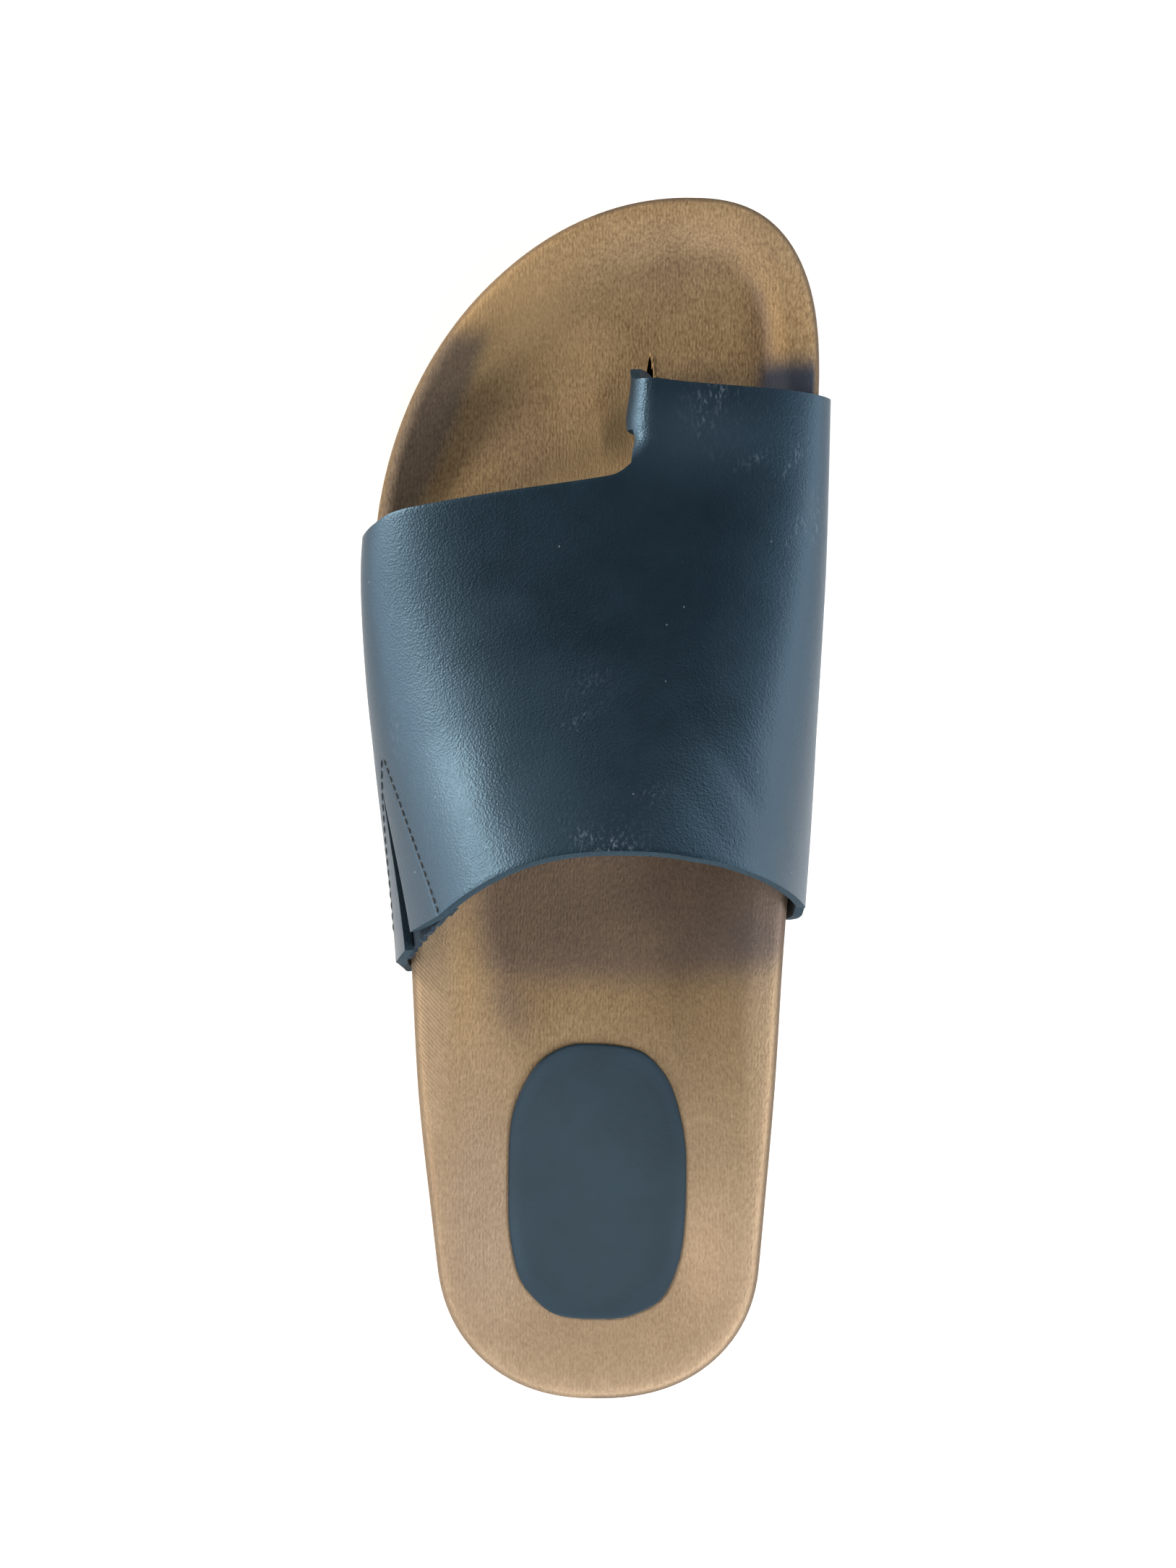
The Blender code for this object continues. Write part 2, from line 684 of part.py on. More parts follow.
def build_dart_underlay():
    """Thin triangle behind the dart, a gap inside the upper's own inner face."""
    rows, columns = 10, 7
    builder = bmesh.new()
    grid = []
    for k in range(rows + 1):
        share = k / rows
        low = UNDERLAY_HEIGHTS[0] + (UNDERLAY_APEX_HEIGHTS[0] - UNDERLAY_HEIGHTS[0]) * share
        high = UNDERLAY_HEIGHTS[1] + (UNDERLAY_APEX_HEIGHTS[1] - UNDERLAY_HEIGHTS[1]) * share
        row = []
        for i in range(columns + 1):
            height = low + (high - low) * i / columns
            back = back_station_at(height) - UNDERLAY_SHOW
            station = back + (UNDERLAY_APEX_STATION - back) * share
            row.append(builder.verts.new(row_frame((wall_offset_at(station, height), station, height))))
        grid.append(row)
    for row, following in zip(grid, grid[1:]):
        for i in range(columns):
            builder.faces.new((row[i], row[i + 1], following[i + 1], following[i]))
    underlay = finish_object("dart_underlay", builder, underlay_leather)
    point_faces_outwards(underlay)
    underlay.data.update()
    normals = [vertex.normal.copy() for vertex in underlay.data.vertices]
    for vertex, normal in zip(underlay.data.vertices, normals):
        vertex.co -= normal * GAP * MM
    wall = underlay.modifiers.new("wall", "SOLIDIFY")
    wall.thickness = UNDERLAY_THICKNESS * MM
    wall.offset = -1.0
    wall.use_even_offset = True
    return underlay


def build_heel_patch():
    """Plain oval patch that follows the heel of the footbed."""
    builder = bmesh.new()

    def ring(share, lift):
        loop = []
        for k in range(PATCH_SIDES):
            turn = 2 * math.pi * k / PATCH_SIDES
            power = 2 / PATCH["front_power" if math.sin(turn) > 0 else "back_power"]
            across = math.copysign(abs(math.cos(turn)) ** power, math.cos(turn))
            length = math.copysign(abs(math.sin(turn)) ** power, math.sin(turn))
            offset = PATCH["offset"] + PATCH["half_width"] * share * across
            station = PATCH["station"] + PATCH["half_length"] * share * length
            loop.append((offset, station, footbed_top(offset, station) + lift))
        return loop

    top = PATCH_LIFT + PATCH_THICKNESS
    loops = [ring(share, PATCH_LIFT) for share in reversed(PATCH_RINGS)]
    loops += [ring(share, top) for share in PATCH_RINGS]
    rings = skin_loops(builder, loops)
    for loop, lift in ((rings[0], PATCH_LIFT), (rings[-1], top)):
        middle_height = footbed_top(PATCH["offset"], PATCH["station"]) + lift
        middle = builder.verts.new(row_frame((PATCH["offset"], PATCH["station"], middle_height)))
        for i in range(PATCH_SIDES):
            builder.faces.new((loop[i], loop[(i + 1) % PATCH_SIDES], middle))
    return finish_object("heel_patch", builder, patch_leather)


for old in list(bpy.data.objects):
    bpy.data.objects.remove(old)

sandal = bpy.data.objects.new("sandal", None)
bpy.context.scene.collection.objects.link(sandal)

rubber = material("outsole_rubber", (0.055, 0.045, 0.038), 0.75)
microfibre = material("tan_microfibre", (0.41, 0.29, 0.18), 0.95)
leather = material("navy_leather", (0.022, 0.036, 0.053), 0.42)
underlay_leather = material("underlay_leather", (0.018, 0.028, 0.04), 0.6)
patch_leather = material("patch_leather", (0.047, 0.077, 0.1), 0.7)

build_outsole()
build_footbed()
build_upper()
build_dart_underlay()
build_heel_patch()
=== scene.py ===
import math

import bmesh
import bpy
import numpy as np
from mathutils import Matrix, Vector


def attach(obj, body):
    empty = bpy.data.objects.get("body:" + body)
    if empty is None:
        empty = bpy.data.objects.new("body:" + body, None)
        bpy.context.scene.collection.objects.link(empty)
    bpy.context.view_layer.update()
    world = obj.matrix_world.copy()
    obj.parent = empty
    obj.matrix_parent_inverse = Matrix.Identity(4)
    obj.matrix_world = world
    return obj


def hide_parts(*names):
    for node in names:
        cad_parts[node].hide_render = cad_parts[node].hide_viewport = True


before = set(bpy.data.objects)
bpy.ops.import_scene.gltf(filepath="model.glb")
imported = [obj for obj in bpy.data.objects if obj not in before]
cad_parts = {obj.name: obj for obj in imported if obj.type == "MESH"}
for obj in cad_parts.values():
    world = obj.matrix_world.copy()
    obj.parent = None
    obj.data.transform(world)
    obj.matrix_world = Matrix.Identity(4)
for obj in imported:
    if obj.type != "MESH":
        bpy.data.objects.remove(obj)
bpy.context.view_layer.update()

mm = 0.001
print("frame loaded:", ", ".join(sorted(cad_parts)))


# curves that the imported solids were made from, in millimetres
# offset runs across the foot (big toe side positive), station from heel to toe, height from the floor
last = {
    "length": 270.0,
    "gap": 0.3,
    "soleThickness": 8.0,
    "soleMargin": 0.8,
    "toeSpring": 9.0,
    "springStation": 190.0,
    "sides": [  # station, lateral half width, medial half width
        (0, 32.3, 33.8), (38, 36.7, 37.3), (70, 40.1, 40.0), (105, 42.0, 42.1),
        (145, 46.3, 45.6), (185, 50.3, 48.9), (230, 50.3, 50.3),
    ],
    "heelDepth": 30.0,
    "heelPower": 2.3,
    "toeTip": 20.3,
    "toeLateral": (85.0, 2.0),  # depth and power of the rounding
    "toeMedial": (40.0, 2.6),
}


def smoothStep(low, high, value):
    share = np.clip((value - low) / (high - low), 0, 1)
    return share * share * (3 - 2 * share)


def curve(table, column, at):
    # smooth line through a table's rows that never overshoots them
    places = np.array([row[0] for row in table], float)
    values = np.array([row[column] for row in table], float)
    rises = np.diff(values) / np.diff(places)
    both = rises[:-1] * rises[1:]
    total = rises[:-1] + rises[1:]
    inner = np.where(both > 0, 2 * both / np.where(both > 0, total, 1), 0)
    slopes = np.concatenate([rises[:1], inner, rises[-1:]])
    at = np.clip(at, places[0], places[-1])
    i = np.clip(np.searchsorted(places, at, side="right") - 1, 0, len(places) - 2)
    span = places[i + 1] - places[i]
    t = (at - places[i]) / span
    return (values[i] * (1 + 2 * t) * (1 - t) ** 2 + slopes[i] * span * t * (1 - t) ** 2
            + values[i + 1] * t * t * (3 - 2 * t) + slopes[i + 1] * span * t * t * (t - 1))


def roundEnd(share, power):
    return (1 - np.clip(share, 0, 1) ** power) ** (1 / power)


def heelShare(station):
    return roundEnd((last["heelDepth"] - station) / last["heelDepth"], last["heelPower"])


def lateralEdge(station):
    depth, power = last["toeLateral"]
    start = last["length"] - depth
    side = curve(last["sides"], 1, np.minimum(station, start))
    toe = last["toeTip"] - (side + last["toeTip"]) * roundEnd((station - start) / depth, power)
    return np.where(station <= start, -side * heelShare(station), toe)


def medialEdge(station):
    depth, power = last["toeMedial"]
    start = last["length"] - depth
    side = curve(last["sides"], 2, np.minimum(station, start))
    toe = last["toeTip"] + (side - last["toeTip"]) * roundEnd((station - start) / depth, power)
    return np.where(station <= start, side * heelShare(station), toe)


def springLift(station):
    run = (station - last["springStation"]) / (last["length"] - last["springStation"])
    return last["toeSpring"] * np.maximum(run, 0) ** 2


def soleTop(station):
    return last["soleThickness"] + springLift(station)


# rungs from heel to toe, close together at the round ends, and the outline that they give
rungs = {"heel": 26, "middle": 104, "toe": 34}
heelTurns = np.linspace(0, math.pi / 2, rungs["heel"] + 1)[1:-1]
toeTurns = np.linspace(0, math.pi / 2, rungs["toe"] + 1)[1:-1]
toeStart = last["length"] - last["toeMedial"][0]
stations = np.concatenate([
    last["heelDepth"] * (1 - np.cos(heelTurns)),
    np.linspace(last["heelDepth"], toeStart, rungs["middle"] + 1),
    toeStart + last["toeMedial"][0] * np.sin(toeTurns),
])
heelMiddle = (medialEdge(stations[0]) + lateralEdge(stations[0])) / 2
outlineX = np.concatenate([[heelMiddle], medialEdge(stations), [last["toeTip"]], lateralEdge(stations)[::-1]])
outlineS = np.concatenate([[0.0], stations, [last["length"]], stations[::-1]])
outwardX = np.roll(outlineS, -1) - np.roll(outlineS, 1)
outwardS = np.roll(outlineX, 1) - np.roll(outlineX, -1)
outwardLength = np.hypot(outwardX, outwardS)
outwardX, outwardS = outwardX / outwardLength, outwardS / outwardLength

# each outline point looks inwards to a line down the middle of the foot
spine = {"start": 36.0, "end": 215.0}
spineS = spine["start"] + (spine["end"] - spine["start"]) * outlineS / last["length"]
spineX = (lateralEdge(spineS) + medialEdge(spineS)) / 2


def insetOf(offset, station):
    # distance inwards from the outline
    nearest = np.full(np.shape(offset), 1e9)
    for x0, s0, x1, s1 in zip(outlineX, outlineS, np.roll(outlineX, -1), np.roll(outlineS, -1)):
        runX, runS = x1 - x0, s1 - s0
        share = np.clip(((offset - x0) * runX + (station - s0) * runS) / (runX**2 + runS**2), 0, 1)
        nearest = np.minimum(nearest, np.hypot(x0 + runX * share - offset, s0 + runS * share - station))
    return nearest


# mesh and material helpers

def place(verts, offset, station, height):
    for vert, x, s, z in zip(verts, offset, station, height):
        vert.co = Vector((x, s - last["length"] / 2, z)) * mm


def startRing(bm, offset, station, height):
    ring = list(bmesh.ops.create_circle(bm, segments=len(offset), radius=0.1)["verts"])
    place(ring, offset, station, height)
    return ring


def growRings(bm, ring, rows):
    # skin that runs on from a ring through rows of offset, station and height
    for row in rows:
        edges = [bm.edges.get((a, b)) for a, b in zip(ring, ring[1:] + ring[:1])]
        made = bmesh.ops.extrude_edge_only(bm, edges=edges)["geom"]
        fresh = {v for v in made if isinstance(v, bmesh.types.BMVert)}
        ring = [next(e.other_vert(v) for e in v.link_edges if e.other_vert(v) in fresh) for v in ring]
        place(ring, *row)
    return ring


def closeSkin(bm):
    bmesh.ops.remove_doubles(bm, verts=bm.verts, dist=1e-6)
    bmesh.ops.recalc_face_normals(bm, faces=bm.faces)


def gridRows(bm, columns, rows):
    # flat grid, its vertices in order row by row
    bmesh.ops.create_grid(bm, x_segments=columns - 1, y_segments=rows - 1, size=1.0)
    return sorted(bm.verts, key=lambda v: (round(v.co.y, 5), round(v.co.x, 5)))


def bisectFaces(bm, faces, point, normal, clear=False):
    geom = [*faces, *{e for f in faces for e in f.edges}, *{v for f in faces for v in f.verts}]
    bmesh.ops.bisect_plane(bm, geom=geom, dist=1e-7, plane_co=point, plane_no=normal, clear_outer=clear)


def meshFrom(bm, name):
    mesh = bpy.data.meshes.new(name)
    bm.to_mesh(mesh)
    bm.free()
    return mesh


def addObject(name, data):
    made = bpy.data.objects.new(name, data)
    bpy.context.scene.collection.objects.link(made)
    return made


def makePiece(name, bm, materials, replaced=None, sharpAngle=40):
    mesh = meshFrom(bm, name)
    for material in materials:
        mesh.materials.append(material)
    mesh.shade_smooth()
    mesh.set_sharp_from_angle(angle=math.radians(sharpAngle))
    piece = addObject(name, mesh)
    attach(piece, "root")
    if replaced:
        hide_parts(replaced)
    print(name, "made with", len(mesh.polygons), "faces")
    return piece


def applyModifiers(piece, sharpAngle=40):
    graph = bpy.context.evaluated_depsgraph_get()
    mesh = bpy.data.meshes.new_from_object(piece.evaluated_get(graph))
    piece.modifiers.clear()
    mesh.name = piece.name
    piece.data = mesh
    mesh.shade_smooth()
    mesh.set_sharp_from_angle(angle=math.radians(sharpAngle))


def cutAway(piece, bm):
    # takes the closed shapes of bm out of a piece
    bmesh.ops.recalc_face_normals(bm, faces=bm.faces)
    cutter = addObject("cutter", meshFrom(bm, "cutter"))
    cut = piece.modifiers.new("cut", "BOOLEAN")
    cut.operation = "DIFFERENCE"
    cut.solver = "EXACT"
    cut.object = cutter
    applyModifiers(piece)
    bpy.data.objects.remove(cutter)


def storeValues(piece, name, values):
    # one number per vertex that a material reads back
    layer = piece.data.attributes.new(name, "FLOAT", "POINT")
    layer.data.foreach_set("value", np.asarray(values, np.float32))


def vertPlaces(piece):
    places = np.empty(len(piece.data.vertices) * 3, np.float32)
    piece.data.vertices.foreach_get("co", places)
    places = places.reshape(-1, 3).astype(float) / mm
    return places[:, 0], places[:, 1] + last["length"] / 2, places[:, 2]


def blots(table, offset, station):
    # soft oval spots: offset, station, half width across, half width along, turn in degrees, amount
    total = np.zeros(np.shape(offset))
    for x, s, across, along, turn, amount in table:
        c, n = math.cos(math.radians(turn)), math.sin(math.radians(turn))
        u = ((offset - x) * c + (station - s) * n) / across
        v = ((station - s) * c - (offset - x) * n) / along
        total = total + amount * np.exp(-(u**2) - v**2)
    return total


def linear(hexColour):
    parts = [int(hexColour[i:i + 2], 16) / 255 for i in (1, 3, 5)]
    return tuple(p / 12.92 if p <= 0.04045 else ((p + 0.055) / 1.055) ** 2.4 for p in parts) + (1.0,)


def newMaterial(name):
    made = bpy.data.materials.new(name)
    made.use_nodes = True
    return made, made.node_tree, made.node_tree.nodes["Principled BSDF"]


def setNode(tree, node, settings, links):
    for key, value in (settings or {}).items():
        if isinstance(key, int) or key in node.inputs:
            node.inputs[key].default_value = value
        else:
            setattr(node, key, value)
    for key, source in (links or {}).items():
        if isinstance(source, bpy.types.Node):  # a node stands for its first live output
            source = next(socket for socket in source.outputs if socket.enabled)
        tree.links.new(source, node.inputs[key])
    return node


def addNode(tree, kind, settings=None, links=None):
    return setNode(tree, tree.nodes.new("ShaderNode" + kind), settings, links)


bandScale = 0.314159  # scale of a Wave texture whose bands lie one metre apart


# tan microfibre suede: knitted backing brushed to a short nap, so flecks of lighter and darker pile lie along
# the foot, the colour clouds where the nap is pressed, and it never shines
microfibre = {
    "light": "#ad926a",
    "dark": "#7b6243",
    # the toe's stronger contrast: pile less worn there, and partly painted shading of the pile as raking light shows
    # it
    "toeLight": "#bba077",
    "toeDark": "#6a5033",
    "fadedLight": "#b8a185",
    "fadedDark": "#917a61",
    # painted shade: the band's cast shadow behind it, shade in the big toe's rim crease, darker places ahead of the
    # band, at the toe and on the heel
    "paintedShade": "#4a4350",
    # painted shadows on the rims beside the band and the toe loop, and behind the band's back corners
    "paintedShadow": "#343a46",
    # painted shade where the cover rounds over its edge and on its walls
    "paintedEdgeShade": "#463b32",
    # lighter nap: stroked the other way, torn fibres, and painted light on the shaded lateral slope of the toe
    "brushedNapAndPaintedLight": "#b4966c",
    "sheen": "#d8bd98",
    "fleckWidth": 0.5,  # mm across a fleck of pile
    "fleckShape": 0.42,  # its width over its length
    "ribPitch": 0.75,  # drawn a little wider than the 0.65 mm rib so that it shows
    "ribShare": 0.1,
    "twillPitch": 0.7,  # wider than the real 0.5 mm so that it shows
    "twillTurn": -42,
    "cloudSize": 13.0,
    "cloudTone": 0.1,
}


def microfibreMaterial():
    made, tree, shader = newMaterial("tanMicrofibreSuede")
    where = addNode(tree, "TexCoord").outputs["Object"]
    drawnOut = addNode(tree, "Mapping", {"Scale": (1.0, microfibre["fleckShape"], 1.0)}, {"Vector": where})
    fleck = addNode(tree, "TexNoise", {"Scale": 1 / (microfibre["fleckWidth"] * mm), "Detail": 3.0,
                                       "Roughness": 0.65}, {"Vector": drawnOut})
    rib = addNode(tree, "TexWave", {"bands_direction": "X", "Scale": bandScale / (microfibre["ribPitch"] * mm),
                                    "Distortion": 5.0, "Detail": 2.0, "Detail Scale": 0.5}, {"Vector": where})
    turned = addNode(tree, "Mapping", {"Rotation": (0, 0, math.radians(microfibre["twillTurn"]))},
                     {"Vector": where})
    twill = addNode(tree, "TexWave", {"bands_direction": "X", "Distortion": 1.5, "Detail": 1.0,
                                      "Scale": bandScale / (microfibre["twillPitch"] * mm)}, {"Vector": turned})
    cloud = addNode(tree, "TexNoise", {"Scale": 1 / (microfibre["cloudSize"] * mm), "Detail": 5.0,
                                       "Roughness": 0.6}, {"Vector": where})
    masks = {name: addNode(tree, "Attribute", {"attribute_name": name}).outputs["Fac"]
             for name in ("paintedShade", "paintedShadow", "faded", "twillShow", "paintedEdgeShade", "brushedNapAndPaintedLight", "unwornPileAndPaintedShading")}

    pile = addNode(tree, "MapRange", {"From Min": 0.24, "From Max": 0.76}, {"Value": fleck})
    ribbed = addNode(tree, "Mix", {"data_type": "FLOAT", 0: microfibre["ribShare"]},
                     {2: pile, 3: rib.outputs["Fac"]})
    twilled = addNode(tree, "Mix", {"data_type": "FLOAT"},
                      {0: masks["twillShow"], 2: ribbed, 3: twill.outputs["Fac"]})
    cloudTone = addNode(tree, "MapRange", {"From Min": 0.3, "From Max": 0.7, "To Min": -microfibre["cloudTone"],
                                           "To Max": microfibre["cloudTone"]}, {"Value": cloud})
    tone = addNode(tree, "Math", {"operation": "ADD", "use_clamp": True}, {0: twilled, 1: cloudTone})
    colour, toe, pale = (
        addNode(tree, "Mix", {"data_type": "RGBA", 6: linear(microfibre[dark]), 7: linear(microfibre[light])},
                {0: tone})
        for dark, light in (("dark", "light"), ("toeDark", "toeLight"), ("fadedDark", "fadedLight")))
    for name, other in (("unwornPileAndPaintedShading", toe), ("faded", pale)):
        colour = addNode(tree, "Mix", {"data_type": "RGBA"}, {0: masks[name], 6: colour, 7: other})
    # over the cover's colour: lighter nap with painted light, painted shade, painted shadows, painted shade along the
    # edge
    for name in ("brushedNapAndPaintedLight", "paintedShade", "paintedShadow", "paintedEdgeShade"):
        colour = addNode(tree, "Mix", {"data_type": "RGBA", 7: linear(microfibre[name])},
                         {0: masks[name], 6: colour})
    bump = addNode(tree, "Bump", {"Strength": 0.7, "Distance": 0.00022}, {"Height": twilled})
    setNode(tree, shader, {"Roughness": 0.92, "Specular IOR Level": 0.2, "Sheen Weight": 0.12,
                           "Sheen Roughness": 0.45, "Sheen Tint": linear(microfibre["sheen"])},
            {"Base Color": colour, "Normal": bump})
    return made


# navy cowhide, smooth full grain with a wax finish: a broad satin shine, fine pebble grain, and dry pale
# marks where the finish is rubbed
navyLeather = {
    "light": "#16242f",
    "dark": "#121f28",
    # paler on the flat of the toe loop
    "paleLoopFlat": "#273642",
    "scuff": "#8494a0",
    "dust": "#a9b3b8",
    "shine": "#a8daff",
    "grainSize": 0.5,  # mm across one pebble of the grain, coarser than the real 0.4 so that it shows
    "poreSize": 0.3,
    "cloudSize": 14.0,
    "creasePitch": 0.62,
    "rubScale": 1400.0,
    "lintScale": 260.0,
    "lintShare": 0.2,  # of the places where a speck could lie
    "dustAmount": 0.4,
    "cornerAmount": 0.45,
}


def navyLeatherMaterial():
    made, tree, shader = newMaterial("navyFullGrainCowhide")
    where = addNode(tree, "TexCoord").outputs["Object"]
    cloud = addNode(tree, "TexNoise", {"Scale": 1 / (navyLeather["cloudSize"] * mm), "Detail": 5.0,
                                       "Roughness": 0.6}, {"Vector": where})
    grain = addNode(tree, "TexVoronoi", {"feature": "SMOOTH_F1", "Scale": 1 / (navyLeather["grainSize"] * mm),
                                         "Smoothness": 0.6}, {"Vector": where})
    pore = addNode(tree, "TexNoise", {"Scale": 1 / (navyLeather["poreSize"] * mm), "Detail": 2.0},
                   {"Vector": where})
    scuff, crease, paleLoopFlat, cornerWear, sewn, seamUpper, seamLower = (
        addNode(tree, "Attribute", {"attribute_name": name}).outputs["Fac"]
        for name in ("scuff", "creased", "paleLoopFlat", "cornerWear", "sewn", "seamUpper", "seamLower"))

    # rubbed marks break up along the grain
    streak = addNode(tree, "Mapping", {"Rotation": (0, 0, math.radians(30)), "Scale": (1.0, 0.35, 1.0)},
                     {"Vector": where})
    rub = addNode(tree, "TexNoise", {"Scale": navyLeather["rubScale"], "Detail": 5.0, "Roughness": 0.7},
                  {"Vector": streak})
    rubbed = addNode(tree, "MapRange", {"From Min": 0.52, "From Max": 0.78}, {"Value": rub})
    worn = addNode(tree, "Math", {"operation": "MULTIPLY", "use_clamp": True}, {0: rubbed, 1: scuff})
    corner = addNode(tree, "MapRange", {"From Min": 0.45, "From Max": 1.0, "To Max": navyLeather["cornerAmount"]},
                     {"Value": cornerWear})
    # lint and dust, a speck here and there
    lint = addNode(tree, "TexVoronoi", {"feature": "F1", "Scale": navyLeather["lintScale"]}, {"Vector": where})
    speck = addNode(tree, "MapRange", {"From Min": 0.062, "From Max": 0.035}, {"Value": lint})
    lot = addNode(tree, "SeparateColor", None, {"Color": lint.outputs["Color"]})
    chosen = addNode(tree, "Math", {"operation": "GREATER_THAN", 1: 1 - navyLeather["lintShare"]}, {0: lot})
    specks = addNode(tree, "Math", {"operation": "MULTIPLY"}, {0: speck, 1: chosen})
    dust = addNode(tree, "Math", {"operation": "MULTIPLY", 1: navyLeather["dustAmount"]}, {0: specks})

    tone = addNode(tree, "MapRange", {"From Min": 0.3, "From Max": 0.7}, {"Value": cloud})
    colour = addNode(tree, "Mix", {"data_type": "RGBA", 6: linear(navyLeather["dark"]),
                                   7: linear(navyLeather["light"])}, {0: tone})
    # paler on the toe loop's flat, rubbed marks, rubbed corners, dust
    for amount, tint in ((paleLoopFlat, "paleLoopFlat"), (worn, "scuff"), (corner, "scuff"), (dust, "dust")):
        colour = addNode(tree, "Mix", {"data_type": "RGBA", 7: linear(navyLeather[tint])}, {0: amount, 6: colour})
    gloss = addNode(tree, "MapRange", {"From Min": 0.25, "From Max": 0.75, "To Min": 0.35, "To Max": 0.42},
                    {"Value": cloud})
    dry = addNode(tree, "Math", {"operation": "MULTIPLY_ADD", 1: 0.25}, {0: worn, 2: gloss})

    # fine wrinkles where the instep bends the hide
    across = addNode(tree, "Mapping", {"Rotation": (0, 0, math.radians(20)), "Scale": (1.0, 0.45, 1.0)},
                     {"Vector": where})
    wrinkle = addNode(tree, "TexNoise", {"Scale": 1 / (navyLeather["creasePitch"] * mm), "Detail": 2.0,
                                         "Distortion": 0.6}, {"Vector": across})
    wrinkled = addNode(tree, "Math", {"operation": "MULTIPLY"}, {0: wrinkle, 1: crease})
    # the thread pulls a narrow trough along the sewn lines
    beside = [addNode(tree, "Math", {"operation": "ABSOLUTE"}, {0: seam}) for seam in (seamUpper, seamLower)]
    nearest = addNode(tree, "Math", {"operation": "MINIMUM"}, {0: beside[0], 1: beside[1]})
    trough = addNode(tree, "MapRange", {"From Min": 0.1, "From Max": 0.7, "interpolation_type": "SMOOTHSTEP"},
                     {"Value": nearest})
    sunk = addNode(tree, "Mix", {"data_type": "FLOAT", 2: 1.0}, {0: sewn, 3: trough})
    normal = {}
    for height, strength, depth in ((grain, 0.42, 0.00012), (pore, 0.3, 0.00006), (wrinkled, 0.5, 0.00022),
                                    (sunk, 1.0, 0.0001)):
        bump = addNode(tree, "Bump", {"Strength": strength, "Distance": depth}, {"Height": height, **normal})
        normal = {"Normal": bump}
    setNode(tree, shader, {"IOR": 1.5, "Specular IOR Level": 0.65, "Specular Tint": linear(navyLeather["shine"])},
            {"Base Color": colour, "Roughness": dry, **normal})
    return made


# cut edge of the same hide, dyed and burnished: matt, fibrous, layered along the edge
cutEdge = {"light": "#243a46", "dark": "#121f28", "fibreSize": 0.35, "detail": 4.0, "spread": 0.2,
           "bump": 0.6, "bumpDepth": 0.0002, "roughness": 0.85, "specular": 0.2, "sheen": 0.0}
# flesh side of the hide, split and sueded: dull, short fibres, a little greyer than the grain side
fleshSide = {"light": "#3a4650", "dark": "#222c34", "fibreSize": 0.6, "detail": 5.0, "spread": 0.18,
             "bump": 0.7, "bumpDepth": 0.0003, "roughness": 0.95, "specular": 0.25, "sheen": 0.05}
# split hide of the underlay: the same, dyed darker
splitHide = {**fleshSide, "light": "#1a2d3a", "dark": "#0f1c26", "fibreSize": 0.5}


def fibrousHideMaterial(name, look):
    made, tree, shader = newMaterial(name)
    where = addNode(tree, "TexCoord").outputs["Object"]
    fibre = addNode(tree, "TexNoise", {"Scale": 1 / (look["fibreSize"] * mm), "Detail": look["detail"],
                                       "Roughness": 0.7}, {"Vector": where})
    tone = addNode(tree, "MapRange", {"From Min": 0.5 - look["spread"], "From Max": 0.5 + look["spread"]},
                   {"Value": fibre})
    colour = addNode(tree, "Mix", {"data_type": "RGBA", 6: linear(look["dark"]), 7: linear(look["light"])},
                     {0: tone})
    bump = addNode(tree, "Bump", {"Strength": look["bump"], "Distance": look["bumpDepth"]}, {"Height": fibre})
    setNode(tree, shader, {"Roughness": look["roughness"], "Specular IOR Level": look["specular"],
                           "Sheen Weight": look["sheen"]}, {"Base Color": colour, "Normal": bump})
    return made


# thin slate leather of the heel patch: pigment finish, matt from wear, faint grain
patchLeather = {"light": "#233a47", "dark": "#203541", "worn": "#2d4558", "grainSize": 0.8, "cloudSize": 9.0}


def patchLeatherMaterial():
    made, tree, shader = newMaterial("slatePigmentLeather")
    where = addNode(tree, "TexCoord").outputs["Object"]
    grain = addNode(tree, "TexVoronoi", {"feature": "SMOOTH_F1", "Scale": 1 / (patchLeather["grainSize"] * mm)},
                    {"Vector": where})
    cloud = addNode(tree, "TexNoise", {"Scale": 1 / (patchLeather["cloudSize"] * mm), "Detail": 5.0,
                                       "Roughness": 0.6}, {"Vector": where})
    rim = addNode(tree, "Attribute", {"attribute_name": "rimWear"})
    tone = addNode(tree, "MapRange", {"From Min": 0.3, "From Max": 0.7}, {"Value": cloud})
    colour = addNode(tree, "Mix", {"data_type": "RGBA", 6: linear(patchLeather["dark"]),
                                   7: linear(patchLeather["light"])}, {0: tone})
    rubbed = addNode(tree, "Mix", {"data_type": "RGBA", 7: linear(patchLeather["worn"])},
                     {0: rim.outputs["Fac"], 6: colour})
    bump = addNode(tree, "Bump", {"Strength": 0.3, "Distance": 0.00012}, {"Height": grain})
    setNode(tree, shader, {"Roughness": 0.68}, {"Base Color": rubbed, "Normal": bump})
    return made


# moulded rubber sole: dark brown, matt, spark-eroded texture from the mould
soleRubber = {"light": "#453a33", "dark": "#2b2420", "textureSize": 0.7, "dustSize": 12.0}


def soleRubberMaterial():
    made, tree, shader = newMaterial("mouldedSoleRubber")
    where = addNode(tree, "TexCoord").outputs["Object"]
    texture = addNode(tree, "TexNoise", {"Scale": 1 / (soleRubber["textureSize"] * mm), "Detail": 3.0},
                      {"Vector": where})
    dust = addNode(tree, "TexNoise", {"Scale": 1 / (soleRubber["dustSize"] * mm), "Detail": 5.0}, {"Vector": where})
    tone = addNode(tree, "MapRange", {"From Min": 0.3, "From Max": 0.7}, {"Value": dust})
    colour = addNode(tree, "Mix", {"data_type": "RGBA", 6: linear(soleRubber["dark"]),
                                   7: linear(soleRubber["light"])}, {0: tone})
    bump = addNode(tree, "Bump", {"Strength": 0.5, "Distance": 0.0002}, {"Height": texture})
    setNode(tree, shader, {"Roughness": 0.78, "IOR": 1.52}, {"Base Color": colour, "Normal": bump})
    return made


# bonded polyester thread: two plies twisted, dark, slightly waxed
thread = {"light": "#1b2227", "dark": "#07090b", "plyPitch": 0.5}


